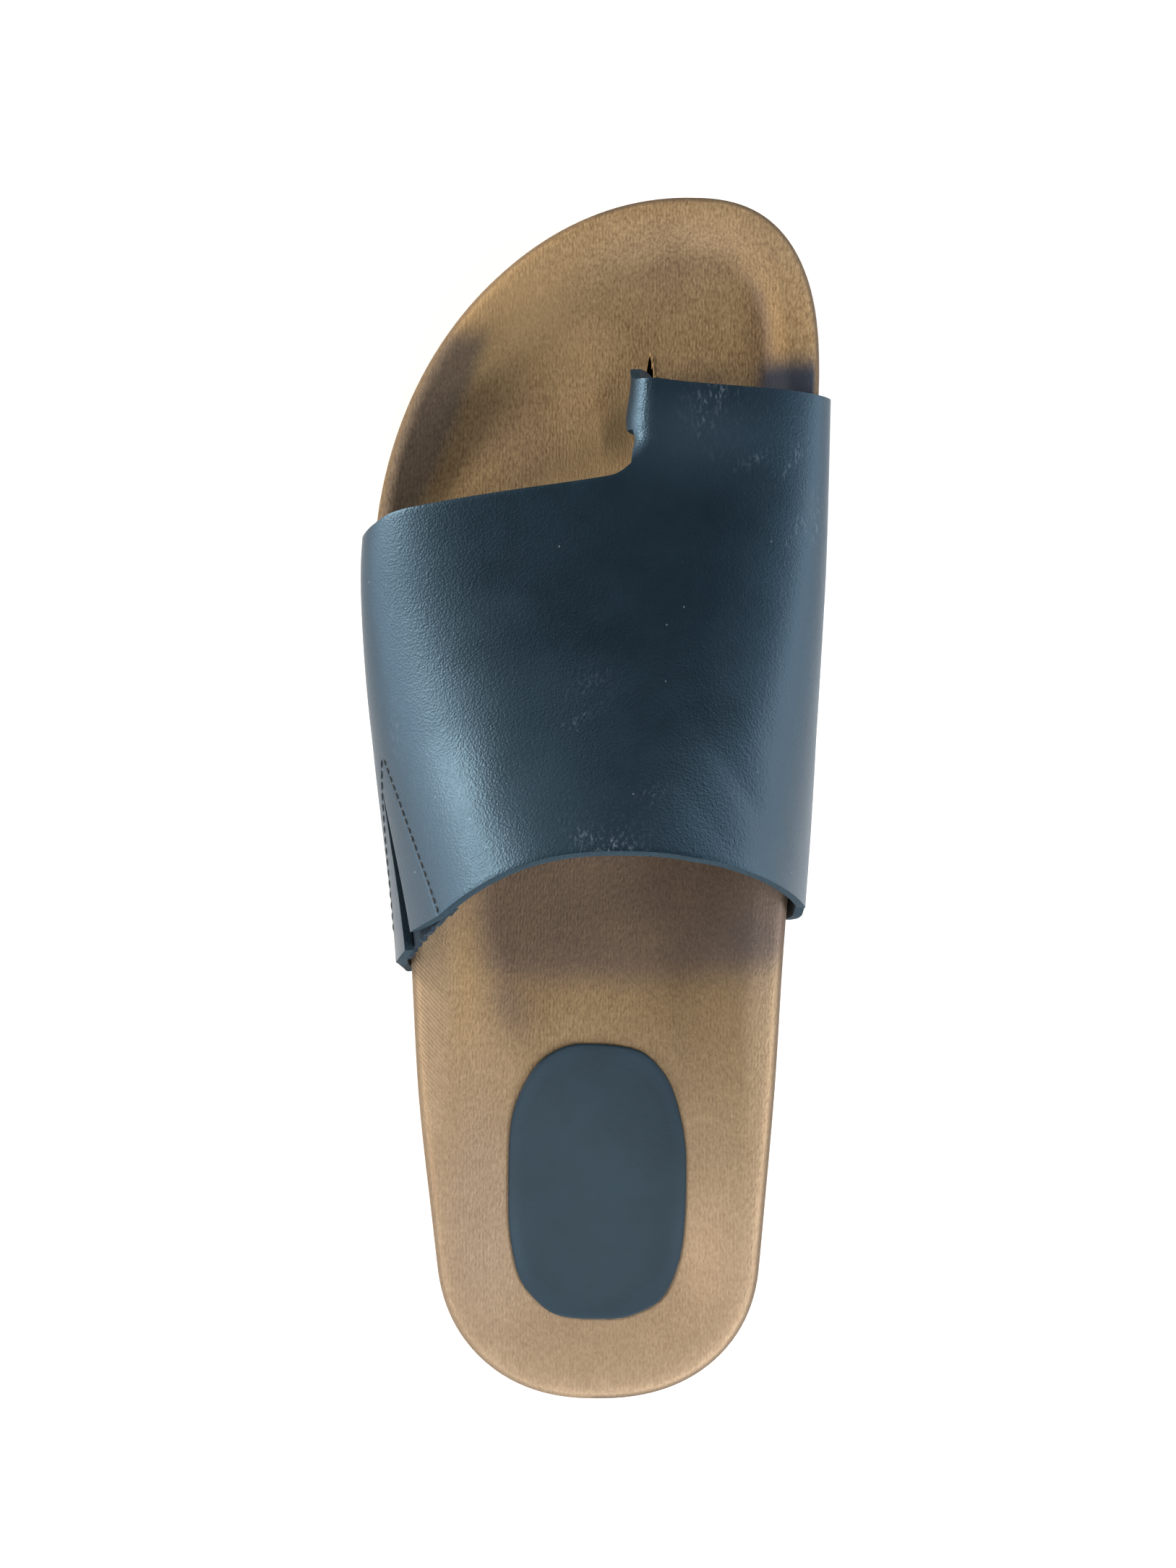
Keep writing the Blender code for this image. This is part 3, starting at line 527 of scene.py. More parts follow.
def threadMaterial():
    made, tree, shader = newMaterial("bondedPolyesterThread")
    where = addNode(tree, "TexCoord").outputs["Object"]
    turned = addNode(tree, "Mapping", {"Rotation": (0.4, 0.5, 0.6)}, {"Vector": where})
    ply = addNode(tree, "TexWave", {"Scale": bandScale / (thread["plyPitch"] * mm), "Distortion": 1.0},
                  {"Vector": turned})
    colour = addNode(tree, "Mix", {"data_type": "RGBA", 6: linear(thread["dark"]), 7: linear(thread["light"])},
                     {0: ply.outputs["Fac"]})
    bump = addNode(tree, "Bump", {"Strength": 0.5, "Distance": 0.0001}, {"Height": ply.outputs["Fac"]})
    setNode(tree, shader, {"Roughness": 0.55}, {"Base Color": colour, "Normal": bump})
    return made


# outsole: flat rubber plate with toe spring, arch relief and cross grooves
outsole = {
    "footRound": 0.7,
    "topRound": 0.4,
    "roundBend": 0.3,  # share of a rounding where its middle ring lies
    "inwards": (0.25, 0.6, 1.0),  # shares of the way from the edge to the middle of the foot
    "archRelief": (84.0, 146.0, 1.6),  # start, end, height
    "heelBevel": (14.0, 1.6),  # length, height
    "grooveWidth": 3.0,
    "grooveDepth": 1.8,
    "grooveEnds": 7.0,
    "grooveRound": 1.2,
    "barHeight": 8.0,  # of the bars that cut the grooves
    "grooves": [22, 35, 48, 61, 74, 156, 169, 182, 195, 208, 221, 234, 247],
}


def soleBottom(station):
    start, end, height = outsole["archRelief"]
    middle = (start + end) / 2
    relief = np.where(station < middle, smoothStep(start, middle, station), 1 - smoothStep(middle, end, station))
    length, lift = outsole["heelBevel"]
    return springLift(station) + height * relief + lift * np.maximum(1 - station / length, 0) ** 2


def makeOutsole(rubber):
    bm = bmesh.new()
    margin, foot, top, bend = last["soleMargin"], outsole["footRound"], outsole["topRound"], outsole["roundBend"]

    def rows(rings):
        for push, height in rings:
            yield outlineX + outwardX * push, outlineS + outwardS * push, height(outlineS)

    # how far out from the footbed's outline, height by station
    startRow = (margin, lambda s: soleBottom(s) + foot)
    wallRows = [
        (margin, lambda s: soleBottom(s) + (soleTop(s) - soleBottom(s)) * 0.5),
        (margin, lambda s: soleTop(s) - top),
        (margin - top * bend, lambda s: soleTop(s) - top * bend),
        (margin - top, soleTop),
    ]
    footRows = [(margin - foot * bend, lambda s: soleBottom(s) + foot * bend), (margin - foot, soleBottom)]
    ring = startRing(bm, *next(rows([startRow])))
    rims = [growRings(bm, ring, rows(rings)) for rings in (wallRows, footRows)]
    for rim, height in zip(rims, (soleTop, soleBottom)):
        inner = [(outlineX + (spineX - outlineX) * share, outlineS + (spineS - outlineS) * share)
                 for share in outsole["inwards"]]
        growRings(bm, rim, [(x, s, height(s)) for x, s in inner])
    closeSkin(bm)
    piece = makePiece("outsoleRubber", bm, [rubber], "outsole")

    bars = bmesh.new()
    tall = outsole["barHeight"]
    for groove in outsole["grooves"]:
        low = float(lateralEdge(groove)) + outsole["grooveEnds"]
        high = float(medialEdge(groove)) - outsole["grooveEnds"]
        floor = float(soleBottom(groove)) + outsole["grooveDepth"]
        size = Matrix.Diagonal(((high - low) * mm, outsole["grooveWidth"] * mm, tall * mm, 1.0))
        middle = Vector(((low + high) / 2, groove - last["length"] / 2, floor - tall / 2)) * mm
        bar = bmesh.ops.create_cube(bars, size=1.0, matrix=Matrix.Translation(middle) @ size)["verts"]
        upright = [e for e in bars.edges
                   if e.verts[0] in bar and abs(e.verts[0].co.z - e.verts[1].co.z) > tall / 2 * mm]
        bmesh.ops.bevel(bars, geom=upright, offset=outsole["grooveRound"] * mm, affect="EDGES", segments=4,
                        profile=0.5, material=-1)
    cutAway(piece, bars)


# footbed: moulded bed with raised rims, wrapped in microfibre, slit between big toe and second toe
footbed = {
    # station, bed height, lateral rim, medial rim, then width of the rim's crest and of its inner slope, both sides
    "beds": [
        (0, 28.2, 32.8, 32.8, 3, 17, 3, 17), (40, 27.6, 33, 33.4, 4, 18, 4, 18),
        (85, 28.2, 33.4, 35.4, 6, 17, 6, 17), (115, 27.2, 34.3, 37.6, 7, 12, 7, 14),
        (150, 26.5, 33, 36, 5, 12, 6, 14), (190, 23, 30, 31, 3, 9, 6, 10), (225, 23.5, 29.5, 30, 2.5, 9, 6, 7),
        (250, 26.2, 29.2, 30.6, 3, 22, 6, 8), (270, 28.5, 32.6, 33.2, 4, 12, 4, 10),
    ],
    "rimSwap": 22.0,  # offset at which a side's own rim is reached
    "rimCrease": (11.6, 1.5, 0.7),  # line at the foot of the big toe's rim: inset, half width, depth
    "edgeRadius": 3.0,
    "toeBar": (219.0, 0.55, 2.4, 8.0, 10.0),  # station, lean, height, half width, medial end
    "pad": (150.0, -2.0, 2.5, 24.0, 18.0),  # station, offset, height, length, width
    "rimInsets": [0.12, 0.4, 0.85, 1.5, 2.2, 3.0, 4.0, 5.2, 6.6, 8.2, 9.4, 10.2, 11.0, 11.8, 12.6, 13.6, 14.8, 16.0],
    "bedRings": 12,
    "wallShares": (0.12, 0.35, 0.6, 0.82, 0.95),  # from the rim down
    # way in from the edge underneath, and whether that ring clears the hide
    "underWays": ((0.7, True), (11.0, True), (11.4, False), (20.0, False)),
    "margins": [(94.6, 190.5), (107.4, 222.0)],  # stations where the hide is lasted under, lateral and medial
    "marginHeight": 2.3,
    "marginEase": 1.5,
    "slitOffset": 12.3,
    "slitMiddle": 223.2,
    "slitHalfLength": 12.2,
    "slitHalfWidth": 1.3,
    "slitPower": 1.2,  # over 1 points its ends
    "slitBottom": 9.2,
    "slitHeight": 40.0,
    # torn fibres at the front of the slit: distance behind its tip, lean outwards, length
    "fray": [(0.3, 0.1, 2.2), (1.2, 0.35, 2.6), (2.2, 0.5, 2.0), (3.1, 0.65, 2.4), (4.2, 0.75, 2.2), (5.3, 0.9, 1.8)],
    "frayLift": 0.1,
    "frayHalfWidth": 0.16,
    "frayTurns": (8, -6, -20),  # degrees, taken in turn
    "frayTilts": (0, 18),
    # painted shade, painted shadows and painted light on the cover: offset, station, half width across, along, turn,
    # amount
    "paintedShade": [(-18, 217, 15, 11, 8, 0.22), (12, 246, 20, 9, 0, 0.08), (24, 258, 26, 10, 0, 0.2),
             (-26, 46, 9, 30, 0, 0.22)],
    "paintedShadowTongue": [(-20, 90, 4.5, 9, 14, 0.34)],
    # painted shadows behind the band's back corners and just ahead of the toe loop
    "paintedShadow": [(34, 104, 10, 10, 24, 0.42), (24, 228, 14, 4.5, 0, 0.4), (-34, 112, 6, 10, 20, 0.26)],
    # painted light on the lateral slope of the toe
    "paintedLightSpots": [(-18, 245, 18, 14, 0, 0.5)],
    "paintedShadowRise": (5.0, 18, 44),  # how far the painted shadow's end rises, and between which offsets
    "paintedShadowLean": 0.15,
    "paintedShadowBorder": ((-39.0, 202.0), (-27.0, 232.0)),  # two points of the inner border of the painted shadow on the lateral rim
    "strokeLean": 1.07,
    # painted shade in the crease at the foot of the big toe's rim
    "paintedCreaseShade": 0.35,
    "edgeAmounts": (0.65, 0.9, 0.3),  # lateral, medial, on the walls: amounts of the painted shade along the edge
    "twillOnWalls": 0.12,
    # masks with soft borders: amount, then what is measured, where the mask starts and where it is full
    "creaseRun": (1.0, [("station", 218, 228), ("station", 256, 246), ("offset", 20, 30)]),
    # painted cast shadow of the band on the bed behind it
    "paintedShadowBehindBand": (0.5, [("behind", 89, 99), ("beside", -15.9, -5.9), ("station", 150.01, 150)]),
    # painted shadows on the lateral rim's inner slope and on the medial rim just ahead of the toe loop
    "paintedShadowOnLateralRim": (0.58, [("inset", 0.1, 1.6), ("paintedShadowBorder", -2, 2.5), ("station", 170, 200),
                               ("station", 243, 237)]),
    "paintedShadowOnMedialRim": (1.0, [("inset", 0.3, 1.6), ("offset", 34, 40), ("station", 180, 210), ("station", 237, 230)]),
    "strokedNap": (0.62, [("stroke", 224, 219), ("offset", -22, -8), ("offset", 14, 9), ("station", 190, 200)]),
    "fadedHeel": (1.0, [("station", 110, 30)]),
    "fadedRim": (0.8, [("inset", 14, 3), ("station", 150, 110)]),
    # stronger contrast at the toe: less worn pile, partly painted shading
    "unwornToeAndPaintedShading": (1.0, [("station", 150, 200)]),
    # painted shade in a thin strip along the edge
    "edgeStrip": (1.0, [("inset", 1.6, 0.4)]),
    "twillBorder": (0.4, [("inset", 13, 4), ("offset", -26, -36), ("station", 50, 90), ("station", 134, 126)]),
}


def softMask(name, measures):
    amount, borders = footbed[name]
    for what, start, full in borders:
        amount = amount * smoothStep(start, full, measures[what])
    return amount


def rimCrease(offset, station, inset):
    middle, half, _ = footbed["rimCrease"]
    along = softMask("creaseRun", {"offset": offset, "station": station})
    return np.exp(-(((inset - middle) / half) ** 2)) * along


def footbedTop(offset, station):
    inset = insetOf(offset, station)
    medial = smoothStep(-footbed["rimSwap"], footbed["rimSwap"], offset)
    lateralRim = curve(footbed["beds"], 2, station)
    rim = lateralRim + (curve(footbed["beds"], 3, station) - lateralRim) * medial
    lateralCrest, lateralSlope, medialCrest, medialSlope = (curve(footbed["beds"], k, station) for k in (4, 5, 6, 7))
    crest = lateralCrest + (medialCrest - lateralCrest) * medial
    slope = lateralSlope + (medialSlope - lateralSlope) * medial
    fall = smoothStep(crest, crest + slope, inset)
    height = rim + (curve(footbed["beds"], 1, station) - rim) * fall
    barStation, lean, barHeight, barWidth, barEnd = footbed["toeBar"]
    bar = np.exp(-(((station - barStation - lean * np.minimum(offset, 0)) / barWidth) ** 2))
    bar = bar * (1 - smoothStep(0, barEnd, offset))
    padStation, padOffset, padHeight, padLength, padWidth = footbed["pad"]
    pad = np.exp(-(((station - padStation) / padLength) ** 2) - ((offset - padOffset) / padWidth) ** 2)
    height = height + fall * (barHeight * bar + padHeight * pad)
    height = height - footbed["rimCrease"][2] * rimCrease(offset, station, inset)
    radius = footbed["edgeRadius"]
    short = np.maximum(radius - inset, 0)
    return height - radius + np.sqrt(np.maximum(radius**2 - short**2, 0))


def footbedUnderside(station, lateral):
    # the sides stop short of the hide that is turned in under them
    lift, ease = np.zeros(np.shape(station)), footbed["marginEase"]
    for side, (start, end) in zip((True, False), footbed["margins"]):
        under = smoothStep(start - ease, start, station) * (1 - smoothStep(end, end + ease, station))
        lift = np.where(lateral == side, footbed["marginHeight"] * under, lift)
    return soleTop(station) + last["gap"] + lift


def makeFootbed(suede):
    bm = bmesh.new()
    high = footbedTop(outlineX, outlineS)
    rim = startRing(bm, outlineX, outlineS, high)
    towardX, towardS = spineX - outlineX, spineS - outlineS
    reach = np.hypot(towardX, towardS)

    def inwards(way):
        return outlineX + towardX * way / reach, outlineS + towardS * way / reach

    deepest, rings = footbed["rimInsets"][-1], footbed["bedRings"]
    ways = footbed["rimInsets"] + [deepest + (reach - deepest) * (k + 1) / rings for k in range(rings)]
    growRings(bm, rim, ((x, s, footbedTop(x, s)) for x, s in map(inwards, ways)))

    lateral = np.arange(len(outlineX)) > len(stations) + 1
    low = footbedUnderside(outlineS, lateral)
    rows = [(outlineX, outlineS, high + (low - high) * share) for share in footbed["wallShares"]]
    for way, clear in footbed["underWays"]:
        x, s = inwards(way)
        rows.append((x, s, footbedUnderside(s, lateral) if clear else soleTop(s) + last["gap"]))
    rows.append((spineX, spineS, soleTop(spineS) + last["gap"]))
    growRings(bm, rim, rows)
    closeSkin(bm)
    piece = makePiece("footbedWrap", bm, [suede], "footbed", 50)

    # slit for the toe tab, pointed at both ends
    blade = bmesh.new()
    lens = bmesh.ops.create_circle(blade, cap_ends=True, segments=40, radius=1.0)["verts"]
    for vert in lens:
        across = math.copysign(abs(vert.co.x) ** footbed["slitPower"], vert.co.x)
        vert.co.x = (footbed["slitOffset"] + footbed["slitHalfWidth"] * across) * mm
        vert.co.y = (footbed["slitMiddle"] - last["length"] / 2 + footbed["slitHalfLength"] * vert.co.y) * mm
        vert.co.z = footbed["slitBottom"] * mm
    lifted = bmesh.ops.extrude_face_region(blade, geom=list(blade.faces))["geom"]
    bmesh.ops.translate(blade, verts=[v for v in lifted if isinstance(v, bmesh.types.BMVert)],
                        vec=(0, 0, footbed["slitHeight"] * mm))
    cutAway(piece, blade)

    offset, station, height = vertPlaces(piece)
    inset = insetOf(offset, station)
    top = height > footbedTop(offset, station) - 1.0
    rise, riseStart, riseEnd = footbed["paintedShadowRise"]
    (x0, s0), (x1, s1) = footbed["paintedShadowBorder"]
    measures = {
        "offset": offset,
        "station": station,
        "inset": inset,
        "behind": station - rise * smoothStep(riseStart, riseEnd, offset),
        "beside": offset + footbed["paintedShadowLean"] * station,
        "paintedShadowBorder": ((station - s0) * (x1 - x0) - (offset - x0) * (s1 - s0)) / math.hypot(x1 - x0, s1 - s0),
        "stroke": station - footbed["strokeLean"] * offset,
    }
    masks = {name: softMask(name, measures) for name in (
        "paintedShadowBehindBand", "paintedShadowOnLateralRim", "paintedShadowOnMedialRim", "strokedNap", "fadedHeel", "fadedRim", "unwornToeAndPaintedShading",
        "edgeStrip", "twillBorder")}
    spots = {name: blots(footbed[name], offset, station) for name in ("paintedShade", "paintedShadowTongue", "paintedShadow", "paintedLightSpots")}
    lateralEdgeShade, medialEdgeShade, wallEdgeShade = footbed["edgeAmounts"]
    values = {
        # painted shade: the band's cast shadow and its tongue, darker blots, shade in the rim crease
        "paintedShade": (spots["paintedShade"] + np.maximum(masks["paintedShadowBehindBand"], spots["paintedShadowTongue"])
                 + footbed["paintedCreaseShade"] * rimCrease(offset, station, inset)),
        # painted shadows
        "paintedShadow": spots["paintedShadow"] + masks["paintedShadowOnLateralRim"] + masks["paintedShadowOnMedialRim"],
        "brushedNapAndPaintedLight": masks["strokedNap"] + spots["paintedLightSpots"],  # nap stroked the other way, and painted light on the shaded lateral slope of the toe
        "faded": np.maximum(masks["fadedHeel"], masks["fadedRim"]),
        # less worn pile at the toe, partly painted shading
        "unwornPileAndPaintedShading": masks["unwornToeAndPaintedShading"],
        # painted shade along the edge and on the walls
        "paintedEdgeShade": np.where(top, masks["edgeStrip"] * np.where(offset > 0, medialEdgeShade, lateralEdgeShade), wallEdgeShade),
        "twillShow": np.where(top, masks["twillBorder"], footbed["twillOnWalls"]),
    }
    for name, amounts in values.items():
        storeValues(piece, name, np.clip(amounts, 0, 1))


def makeFray(suede):
    bm = bmesh.new()
    tip = footbed["slitMiddle"] + footbed["slitHalfLength"]
    thin = footbed["frayHalfWidth"] * mm
    for k, (behind, out, length) in enumerate(footbed["fray"]):
        x, s = footbed["slitOffset"] + out, tip - behind
        z = float(footbedTop(np.array(x), np.array(s))) + footbed["frayLift"]
        turn, tilt = (math.radians(angles[k % len(angles)])
                      for angles in (footbed["frayTurns"], footbed["frayTilts"]))
        where = Matrix.Translation(Vector((x, s - last["length"] / 2, z)) * mm)
        where = where @ Matrix.Rotation(turn, 4, "Z") @ Matrix.Rotation(tilt, 4, "X")
        size = Matrix.Diagonal((thin, length / 2 * mm, thin, 1.0))
        bmesh.ops.create_uvsphere(bm, u_segments=8, v_segments=6, radius=1.0, matrix=where @ size)
    piece = makePiece("slitFray", bm, [suede])
    storeValues(piece, "brushedNapAndPaintedLight", np.ones(len(piece.data.vertices)))


# upper: one band of hide over the foot, its toe loop rolled down into the slit, a dart at the lateral back
upper = {
    "hide": 2.0,
    "margin": 10.0,
    "arches": [  # station, crest offset, crest height, height of the side walls, lateral bulge, medial bulge
        (92, 4.0, 98.0, 40, 0.4, 1.4), (123, 5.0, 80.5, 39, 0.8, 1.2), (150, 7.5, 65.5, 37, 1.0, 0.6),
        (180, 10.5, 54.5, 35, 0.1, 0), (206, 12.5, 48.5, 34, 0, 0), (230, 12.5, 44.5, 33, 0, 0),
    ],
    "lateralFullness": 2.0,
    "medialFullness": 2.15,
    "backEdge": (123.2, 5.0, 0.00158, 2.5, -4.6, -5.5),  # station, offset, bow, power, lean lateral and medial
    "medialLeanPower": 0.45,  # under 1 leans it most at the top of the wall
    "backTrim": [(20, 0), (30, 1.2), (37, 2.4), (42, 3.0), (46, 2.6)],  # offset, how much shorter the medial back is
    "bandFront": [  # offset, station of the cut edge
        (-51.5, 191.6), (-48.5, 195.2), (-44, 198.0), (-36, 199.6), (-20, 202.0), (0, 204.8), (4, 205.6),
        (8, 208.4), (13, 212.5), (53, 206.0),
    ],
    "bandLean": -5.0,
    "loopFront": [(8, 227.9), (13.4, 227.1), (22, 226.1), (45, 224.7), (53, 223.8)],
    "loopLean": -3.0,
    "tabOffset": 13.4,
    "tabRear": 216.0,
    "rollRadius": (3.9, 5.2),  # at the front and at the rear
    "rollOpen": (0.6, 9.0),  # share of its turn that the roll keeps at the rear, length over which it opens
    "rollTurn": math.radians(104),
    # how far the tab's front edge runs ahead of the loop's, by steps down the tab
    "tabLead": [(0, 0), (2, 0.1), (3, 1.2), (3.6, 3.0), (5, 3.4), (7, 2.4), (9, -2.0)],
    "notchDent": 0.9,
    "tabEnd": 10.5,
    "notchReach": 0.0625,  # share of the lateral girth that the notch takes
    "notchColumns": 11,  # shared by band and tab
    "notchTurn": 3.2,  # step down the tab that they reach
    "tabRuns": ((4, 4), (7, 10), (9, 5)),  # then up to which step, in how many columns
    "lateralColumns": 61,
    "columnCrowding": 1.1,
    "medialColumns": 50,
    "wallGirths": (3, 2.6, 2.25, 2.08, 1.97, 1.88, 1.7, 1.5, 1.3, 1.12),
    "bandRows": 74,
    "notchRows": 7,
    "loopRows": 22,
    "rollRange": (8, 9),  # rows and columns from the roll's start that are smoothed
    "rollRounds": 8,
    "bendGirths": (1.8, 2.3),  # where the hide turns under
    "bendRounds": 3,
    "edgeRound": 0.35,
    "edgeAngle": 55,
    # soft troughs and ridges left by wear: offset, station, half width across, half width along, turn, height
    "folds": [
        (33, 132, 1.6, 11, 24, -0.14), (37, 128, 1.5, 10, 22, -0.12), (29, 137, 1.8, 12, 28, -0.11),
        (35, 141, 3.0, 12, 20, 0.1), (24, 128, 2.2, 9, 34, -0.09), (-24, 134, 6.0, 18, -26, 0.14),
        (-14, 150, 7.0, 22, -18, -0.1), (4, 165, 30, 7, 4, -0.22), (8, 186, 34, 8, -3, 0.2),
        (28, 205, 16, 5, 6, -0.18), (26, 218, 12, 3.5, 4, 0.12),
    ],
    "foldsAbove": 40.0,
    # rubbed places: offset, station, half width across, half width along, turn, amount
    "scuffs": [
        (4, 124.5, 5, 3.5, 20, 0.9), (-3, 127, 4, 2, -30, 0.6), (12, 136, 4, 2, 20, 0.35), (28, 216, 14, 9, 10, 0.08),
        (-4, 133, 14, 8, 0, 0.06), (25, 223, 4.5, 3.5, 30, 0.5), (23, 217, 3, 4, 30, 0.25), (28, 224, 3, 3, 0, 0.3),
        (43, 209.5, 1.2, 5, -35, 0.7), (44.5, 194, 1.2, 3, -20, 0.8), (42, 191, 0.9, 2, -20, 0.8),
        (-2, 160, 5, 4, 0, 0.25), (-4, 152, 0.9, 4.5, -62, 0.5), (35, 209.5, 0.9, 4.5, -65, 0.5),
        (-46, 180, 1.0, 5, 5, 0.5), (-44, 150, 1.2, 7, 3, 0.35), (48, 160, 1.2, 10, 0, 0.4),
        (49, 196, 1.5, 8, 0, 0.5),
    ],
    "scuffHeights": (37, 43),
    # paler on the flat of the toe loop
    "paleLoopFlat": [(18, 216, 12, 9, 0, 0.85), (32, 214, 13, 9, 0, 0.5)],
    "creased": [(33, 133, 9, 15, 22, 1.0), (24, 126, 7, 8, 30, 0.7), (38, 150, 7, 12, 15, 0.6),
                (-20, 130, 9, 9, -25, 0.1)],
}
dart = {
    "apex": (137.0, 46.0),  # station and height
    "back": (98.0, 63.0),
    "backWidth": 5.4,
    "through": (-1.0, 0.0, 0.35),
    "lateralOf": -25.0,  # offset that the cuts stay beyond
    "cornerCut": ((-34.1, 108.8), (-40.4, 105.1)),  # offset and station of both ends
    "cornerRange": (6.0, 4.0),  # how far it reaches aside and ahead of its first end
    "upperSeam": ((143.8, 46.6), (110.2, 70.6)),
    "lowerSeam": ((143.8, 45.9), (106.5, 46.0)),
    "sewnRun": (-0.02, 1.05),  # share of a seam's length
    "sewnBeyond": -20.0,
    "sewnHalfWidth": 4.0,
    "stitchLength": 1.9,
    "stitchPitch": 2.4,
    "stitchThickness": 0.56,
    "stitchSink": 0.02,
    "stitchAim": 0.5,  # a stitch points at the seam this far ahead
}


def archPoint(angle, station):
    crest, top, spring = (curve(upper["arches"], k, station) for k in (1, 2, 3))
    lateral = lateralEdge(station) - last["gap"] - curve(upper["arches"], 4, station) - crest
    medial = medialEdge(station) + last["gap"] + curve(upper["arches"], 5, station) - crest
    power = np.where(angle < 0, 2 / upper["lateralFullness"], 2 / upper["medialFullness"])
    x = crest + np.where(angle < 0, lateral, medial) * np.abs(np.sin(angle)) ** power
    return x, spring + (top - spring) * np.abs(np.cos(angle)) ** power


def tabAngle(station):
    # where round the arch the toe tab's own column lies
    low = np.full(np.shape(station), math.radians(-60))
    high = np.full(np.shape(station), math.radians(60))
    for _ in range(40):
        middle = (low + high) / 2
        short = archPoint(middle, station)[0] < upper["tabOffset"]
        low, high = np.where(short, middle, low), np.where(short, high, middle)
    return (low + high) / 2


def girthPoint(girth, station):
    # girth runs over the foot: -1..1 the arch, 1..2 a side wall going down, 2..3 the margin turned in
    side = np.where(girth < 0, -1.0, 1.0)
    far = np.abs(girth)
    start = tabAngle(station)
    archX, archZ = archPoint(start + (side * math.pi / 2 - start) * np.clip(far, 0, 1), station)
    edge = np.where(girth < 0, lateralEdge(station) - last["gap"], medialEdge(station) + last["gap"])
    bulge = np.where(girth < 0, curve(upper["arches"], 4, station), curve(upper["arches"], 5, station))
    spring = curve(upper["arches"], 3, station)
    shelf = soleTop(station) + last["gap"] + upper["hide"]
    up = np.clip(2 - far, 0, 1)
    wallX, wallZ = edge + side * bulge * up, shelf + (spring - shelf) * up
    marginX = edge - side * upper["margin"] * np.clip(far - 2, 0, 1)
    x = np.where(far <= 1, archX, np.where(far <= 2, wallX, marginX))
    return x, np.where(far <= 1, archZ, np.where(far <= 2, wallZ, shelf))


def backCut(girth, offset):
    station, middle, bow, power, lateralLean, medialLean = upper["backEdge"]
    down = np.clip(np.abs(girth) - 1, 0, 1)
    lean = np.where(girth < 0, lateralLean * down, medialLean * down ** upper["medialLeanPower"])
    return station - bow * np.abs(offset - middle) ** power + lean + curve(upper["backTrim"], 1, offset)


def bandFrontCut(girth, offset):
    return curve(upper["bandFront"], 1, offset) + upper["bandLean"] * np.clip(np.abs(girth) - 1, 0, 1)


def loopFrontCut(girth, offset):
    return curve(upper["loopFront"], 1, offset) + upper["loopLean"] * np.clip(np.abs(girth) - 1, 0, 1)


def cutStation(cut, girth, guess):
    station = np.full(np.shape(girth), guess)
    for _ in range(14):
        station = cut(girth, girthPoint(girth, station)[0])
    return station


def tabPoint(step, station):
    # down the toe tab: 0..4 the roll, 4..7 a slanted drop, 7..9 inside the slit
    topX, topZ = archPoint(tabAngle(station), station)
    frontRadius, rearRadius = upper["rollRadius"]
    radius = rearRadius + (frontRadius - rearRadius) * smoothStep(upper["tabRear"], upper["loopFront"][0][1], station)
    kept, length = upper["rollOpen"]
    kept = kept + (1 - kept) * smoothStep(upper["tabRear"], upper["tabRear"] + length, station)
    turn = upper["rollTurn"] * kept * np.clip(step, 0, 4) / 4
    rollX, rollZ = topX - radius * np.sin(turn), topZ - radius + radius * np.cos(turn)
    entryX = footbed["slitOffset"] + upper["hide"] / 2
    entryZ = footbedTop(np.full(np.shape(station), footbed["slitOffset"]), station) + last["gap"]
    drop = np.clip((step - 4) / 3, 0, 1)
    sink = np.clip((step - 7) / 2, 0, 1)
    x = rollX + (entryX - rollX) * drop
    return x, rollZ + (entryZ - rollZ) * drop + (upper["tabEnd"] - entryZ) * sink


def lateralOffset(station, height):
    spring, top = curve(upper["arches"], 3, station), curve(upper["arches"], 2, station)
    share = np.clip((height - spring) / (top - spring), 0, 1)
    return archPoint(-np.arccos(share ** (upper["lateralFullness"] / 2)), station)[0]


def seamPoints(seam, count):
    # points of a straight line over the lateral side, with the way out of the hide
    (s0, z0), (s1, z1) = seam
    share = np.linspace(0, 1, count)
    s, z = s0 + (s1 - s0) * share, z0 + (z1 - z0) * share
    step = 0.1
    slopeS = (lateralOffset(s + step, z) - lateralOffset(s - step, z)) / (2 * step)
    slopeZ = (lateralOffset(s, z + step) - lateralOffset(s, z - step)) / (2 * step)
    out = np.stack([-np.ones(count), slopeS, slopeZ], 1)
    out /= np.linalg.norm(out, axis=1)[:, None]
    return np.stack([lateralOffset(s, z), s, z], 1), out


